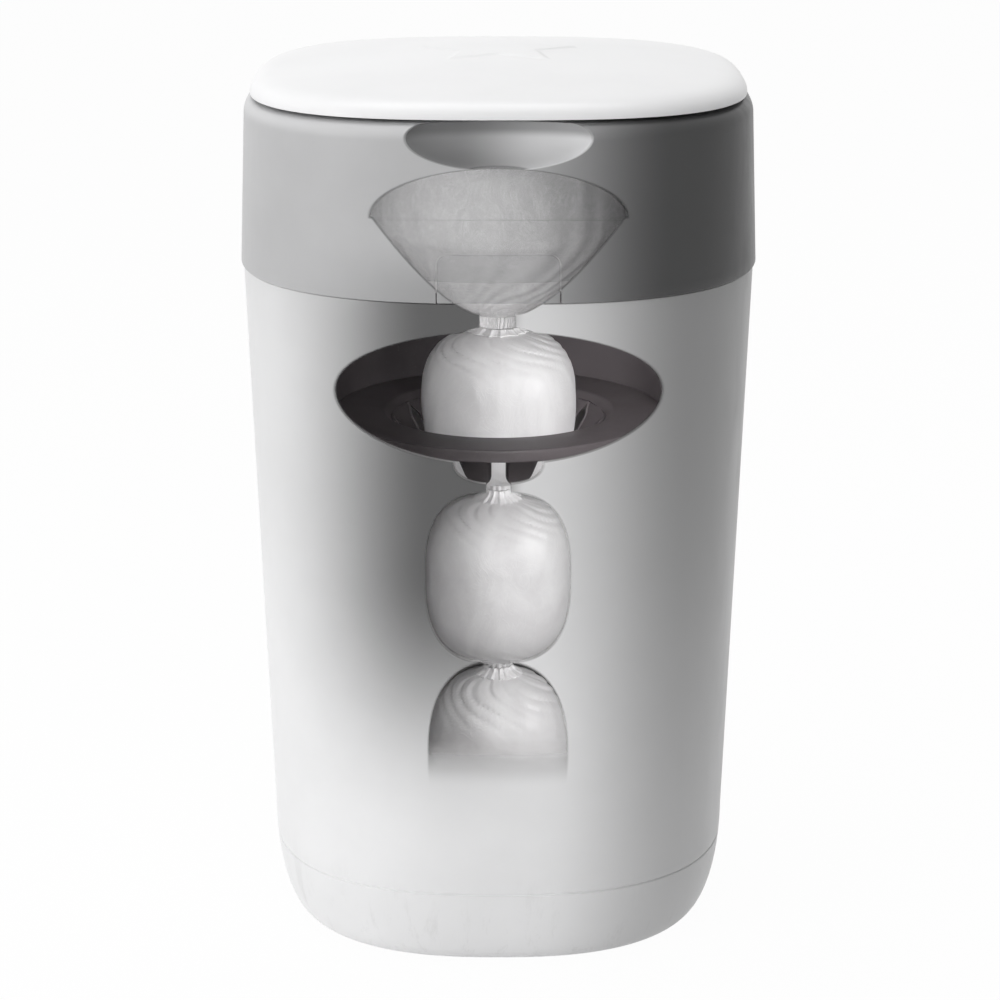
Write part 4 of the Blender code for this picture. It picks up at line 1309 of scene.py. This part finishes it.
def make_spring(material):
    """The tab's return spring: a coil from the front to the rear of the CAD spring's box, built at its rest
    length.
    """
    low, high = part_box("tab_spring")
    front = low[1] + spring_wire
    rear = high[1] - spring_wire
    middle = (low[2] + high[2]) / 2
    per_turn = 32
    count = spring_turns * per_turn
    rings = []
    for step in range(count + 1):
        turn = 2 * math.pi * step / per_turn
        outward = Vector((math.cos(turn), 0, math.sin(turn)))
        centre = outward * spring_radius + Vector((0, front + (rear - front) * step / count, middle))
        ring = []
        for side in range(12):
            angle = 2 * math.pi * side / 12
            ring.append(centre + outward * spring_wire * math.cos(angle)
                        + Vector((0, spring_wire * math.sin(angle), 0)))
        if step == 0:
            rings.append([centre])
        rings.append(ring)
    rings.append([centre])
    spring = skin("return_spring", rings, [material])
    dress(spring, "head", "steel", "tab_spring")
    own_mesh(spring)


# Wrapped nappies and film

def sack_width(share):
    return (1 - abs(2 * share - 1) ** 3.0) ** (1 / 3.0)


def make_nappy(number, body, radius, heights, ends, material, limit=None, top_neck=neck_radius):
    """A rounded sack in film: fine pleats swirl into the twisted necks, and its sides pucker a little."""
    low, high = heights
    bottom, top = ends
    tall = high - low
    open_low = low > bottom
    rings = []
    rows = 110
    steps = 216
    for row in range(rows + 1):
        height = bottom + (top - bottom) * (1 - math.cos(math.pi * row / rows)) / 2
        share = min(1, max(0, (height - low) / tall))
        width = radius * sack_width(share)
        near_top = smooth_share(height, high - tall * 0.34, high)
        near_low = (1 - smooth_share(height, low, low + tall * 0.24)) if open_low else 0
        gather = max(near_top, near_low)
        flare = 0
        if height > high - tall * 0.1:
            flare = top_neck + sack_flare * math.exp(-abs(height - high) / sack_flare_fade)
        ring = []
        for step in range(steps):
            angle = 2 * math.pi * step / steps
            swirl = 1.5 * near_top ** 2 - 1.1 * near_low ** 2
            wander = 1.1 * math.sin(2 * angle + number) + 0.7 * math.sin(5 * angle + 2 * number)
            fold = 0.5 + 0.5 * math.cos(14 * (angle + swirl) + wander)
            minor = 0.5 + 0.5 * math.cos(33 * (angle + swirl * 1.15) + 1.7 * wander)
            deep = 0.0010 + 0.046 * gather ** 2.2
            reach = width * (1 - deep * fold ** 3 - deep * 0.45 * minor ** 3)
            across = Vector((math.cos(angle), math.sin(angle), 0))
            spot = across * width * 30 + Vector((0, 0, height * 24 + number * 7))
            reach -= sack_dent * max(0, noise.noise(spot))
            reach -= sack_crumple * abs(noise.noise(spot * 2.7))
            reach = max(reach, flare * (0.86 + 0.10 * fold + 0.04 * minor))
            if limit:
                reach = min(reach, limit(height))
            reach = max(reach, neck_radius * (0.84 + 0.16 * fold))
            ring.append(across * reach + Vector((0, 0, height)))
        rings.append(ring)
    rings.insert(0, [Vector((0, 0, bottom))])
    rings.append([Vector((0, 0, top))])
    sack = skin(f"sack_{number}", rings, [material])
    dress(sack, body, "film", f"wrapped_nappy_{number}")


def claw_limit(height):
    if height >= disc_top:
        return nappy_1_radius
    return petal_radius(height) - gap * 2


def make_funnel(material):
    """The film from the cassette's inner wall down its cone to the twisted neck, in fine swirling pleats."""
    rim_top = tray_bottom + tray_inner_height + funnel_rim_rise
    rim = tray_inner_radius - gap
    steps = 288
    rings = []
    profile = []
    for step in range(13):
        profile.append((rim, rim_top + (funnel_turn_height - rim_top) * step / 12, 0.0))
    cone_rows = 56
    for step in range(1, cone_rows + 1):
        share = 1 - step / cone_rows
        height = funnel_neck_height + (funnel_turn_height - funnel_neck_height) * share
        half = upper_neck_radius + (rim - upper_neck_radius) * share ** (1 / funnel_curve_power)
        profile.append((half, height, 1 - share))
    for step in range(1, 5):
        height = funnel_neck_height + (funnel_bottom - funnel_neck_height) * step / 4
        profile.append((upper_neck_radius, height, 1.0 + 0.03 * step))
    for half, height, along in profile:
        ring = []
        for step in range(steps):
            angle = 2 * math.pi * step / steps
            swirl = 1.4 * along ** 3
            wander = 2.0 * math.sin(3 * angle) + 1.2 * math.sin(7 * angle)
            pleat = 0.5 + 0.5 * math.cos(24 * (angle + swirl) + wander)
            deep = cone_pleat + cone_deeper_pleat * math.sin(math.pi * min(1, along * 1.15))
            if along == 0:
                deep = cone_rim_pleat
            if along >= 1:
                deep = cone_neck_pleat
            spot = Vector((math.cos(angle) * 5, math.sin(angle) * 5, height * 60))
            reach = half - deep * pleat - cone_wave * abs(noise.noise(spot))
            reach += cone_swell * max(0, min(1, along * 12, (1 - along) * 6))
            reach = max(reach, upper_neck_radius * (0.80 + 0.18 * pleat))
            ring.append(Vector((reach * math.cos(angle), reach * math.sin(angle), height)))
        rings.append(ring)
    funnel = skin("film_cone", rings, [material])
    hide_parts("film_funnel")
    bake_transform(funnel)
    length = rim_top - funnel_turn_height + math.hypot(rim, funnel_turn_height - funnel_bottom)
    area = math.pi * rim * (length + rim_top - funnel_turn_height)


# Put together

arm_window = inner_window(arm_window_half, arm_window_top)
deck_window = inner_window(deck_window_half, deck_window_top)
ring_window = inner_window(ring_window_half, ring_window_top)
basket_window = inner_window(basket_window_half, deck_window_top)
tub_outside = moulded("tub_plastic", white_plastic, 0.34, shell_grain, 0.03, tub_window,
                      painted_shade_and_wear=tub_outer_wear_and_shade)
# The tub's inner face: a darker, painted-shade copy of the tub's white plastic.
tub_inside = moulded("tub_inside", (0.62, 0.605, 0.608, 1.0), 0.50, smooth_grain, 0.03, tub_window,
                     painted_shade_and_wear=tub_painted_shade)
collar_plastic = moulded("collar_plastic", collar_grey, 0.36, window=collar_window, share=0.86,
                         painted_shade_and_wear=collar_painted_shade, gloss=0.15)
tab_plastic = moulded("tab_plastic", collar_grey, 0.36, window=collar_window, share=0.74, painted_shade_and_wear=collar_painted_shade,
                      gloss=0.15)
arm_plastic = moulded("arm_plastic", collar_grey, 0.36, window=arm_window)
lid_plastic = moulded("lid_plastic", white_plastic, 0.30, lid_grain, 0.02, gloss=0.22, wear=0.02)
liner_plastic = moulded("liner_plastic", (0.66, 0.66, 0.67, 1.0), 0.38)
cassette_plastic = moulded("cassette_plastic", (0.74, 0.74, 0.75, 1.0), 0.30, window=ring_window)
ring_plastic = moulded("ring_plastic", (0.55, 0.55, 0.56, 1.0), 0.40, window=ring_window)
deck_plastic = moulded("deck_plastic", (0.50, 0.50, 0.51, 1.0), 0.45, window=deck_window)
slider_plastic = moulded("slider_plastic", (0.16, 0.16, 0.165, 1.0), 0.40)
# The last arguments give the basket and the gripper disc a painted light on their right.
basket_plastic = rubber_look("basket_plastic", (0.045, 0.040, 0.042, 1.0), 0.40, basket_window, 3.8)
disc_rubber = rubber_look("disc_rubber", (0.052, 0.046, 0.048, 1.0), 0.42, None, 3.5)
seal_rubber = rubber_look("seal_rubber", (0.10, 0.10, 0.10, 1.0), 0.60)
steel = steel_look("steel")
spring_steel = steel_look("spring_steel", arm_window)
sack_film = film_look("sack_film")
cone_film = film_look("cone_film", 0.80)
store_film = film_look("store_film", window=ring_window)

make_tub(tub_outside, tub_inside)
make_collar(collar_plastic)
make_tab(tab_plastic, arm_plastic)
make_lid(lid_plastic)
make_liner(liner_plastic)
make_seal(seal_rubber)
make_ring(ring_plastic)
make_tray(cassette_plastic)
make_cap(cassette_plastic)
make_pack(store_film)
make_basket(basket_plastic)
make_disc(disc_rubber)
make_spring(spring_steel)
make_nappy(1, "head", nappy_1_radius, nappy_1_body, nappy_1_ends, sack_film, claw_limit, upper_neck_radius)
make_nappy(2, "tub", nappy_2_radius, nappy_2_body, nappy_2_ends, sack_film)
make_nappy(3, "tub", nappy_3_radius, nappy_3_body, nappy_3_ends, sack_film)
make_funnel(cone_film)
for names, material in ((("deck", "latch_striker"), deck_plastic), (steel_nodes, steel),
                        (("cutter_slider",), slider_plastic)):
    for name in names:
        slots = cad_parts[name].data.materials
        slots.clear()
        slots.append(material)


# Camera, floor, backdrop and light

def linked(name, data, place, target):
    """A camera or lamp in the scene, turned to its target."""
    piece = bpy.data.objects.new(name, data)
    bpy.context.scene.collection.objects.link(piece)
    piece.location = place
    piece.rotation_euler = (Vector(target) - piece.location).to_track_quat("-Z", "Y").to_euler()
    return piece


def make_camera():
    data = bpy.data.cameras.new("camera")
    data.lens = 108
    data.sensor_width = 36
    data.shift_x = 0.0015
    bpy.context.scene.camera = linked("camera", data, camera_place, camera_target)


def make_stage():
    """A floor, white to the camera and to reflections, and a plain pale surface for the rest."""
    look = Look(bpy.data.materials.new("stage_pale"))
    look.set(Base_Color=grey(0.92), Roughness=0.9)
    glow = look.add("ShaderNodeEmission", Strength=1.0)
    seen = look.seen_directly() * 0.97
    mix = look.add("ShaderNodeMixShader", seen, look.shader.outputs[0], glow.outputs[0])
    look.feed(look.nodes["Material Output"].inputs["Surface"], mix.outputs[0])
    mesh_data = bmesh.new()
    bmesh.ops.create_grid(mesh_data, x_segments=1, y_segments=1, size=floor_half)
    finished("floor", mesh_data, [look.owner])


def make_lamp(name, place, size, power, target_height, lit=()):
    """An area lamp. Where lit is given it reaches those pieces alone, and only they cast shadows in it."""
    data = bpy.data.lights.new(name, "AREA")
    data.energy = power
    data.shape = "RECTANGLE"
    data.size, data.size_y = size
    lamp = linked(name, data, place, (0, 0, target_height))
    if lit:
        groups = [bpy.data.collections.new(name + ending) for ending in ("_lit", "_held")]
        for group in groups:
            for piece in lit:
                group.objects.link(bpy.data.objects[piece])
        lamp.light_linking.receiver_collection, lamp.light_linking.blocker_collection = groups
        lamp.visible_camera = False


def make_world():
    """White to the camera and to reflections; the light that it gives is stronger from the left."""
    world = bpy.data.worlds.new("world")
    bpy.context.scene.world = world
    look = Look(world, "Generated")
    given = look.add("ShaderNodeMapRange", Value=look.x, From_Min=-1.0, From_Max=1.0, To_Min=0.52,
                     To_Max=0.10).outputs[0]
    strength = look.add("ShaderNodeMapRange", Value=look.seen_directly(), To_Min=given, To_Max=1.0)
    background = look.nodes["Background"]
    look.feed(background.inputs["Color"], grey(1.0))
    look.feed(background.inputs["Strength"], strength.outputs[0])


make_camera()
make_stage()
for lamp_values in lamps:
    make_lamp(*lamp_values)
make_world()
bpy.context.scene.view_settings.view_transform = "Standard"
bpy.context.scene.cycles.transparent_max_bounces = 32
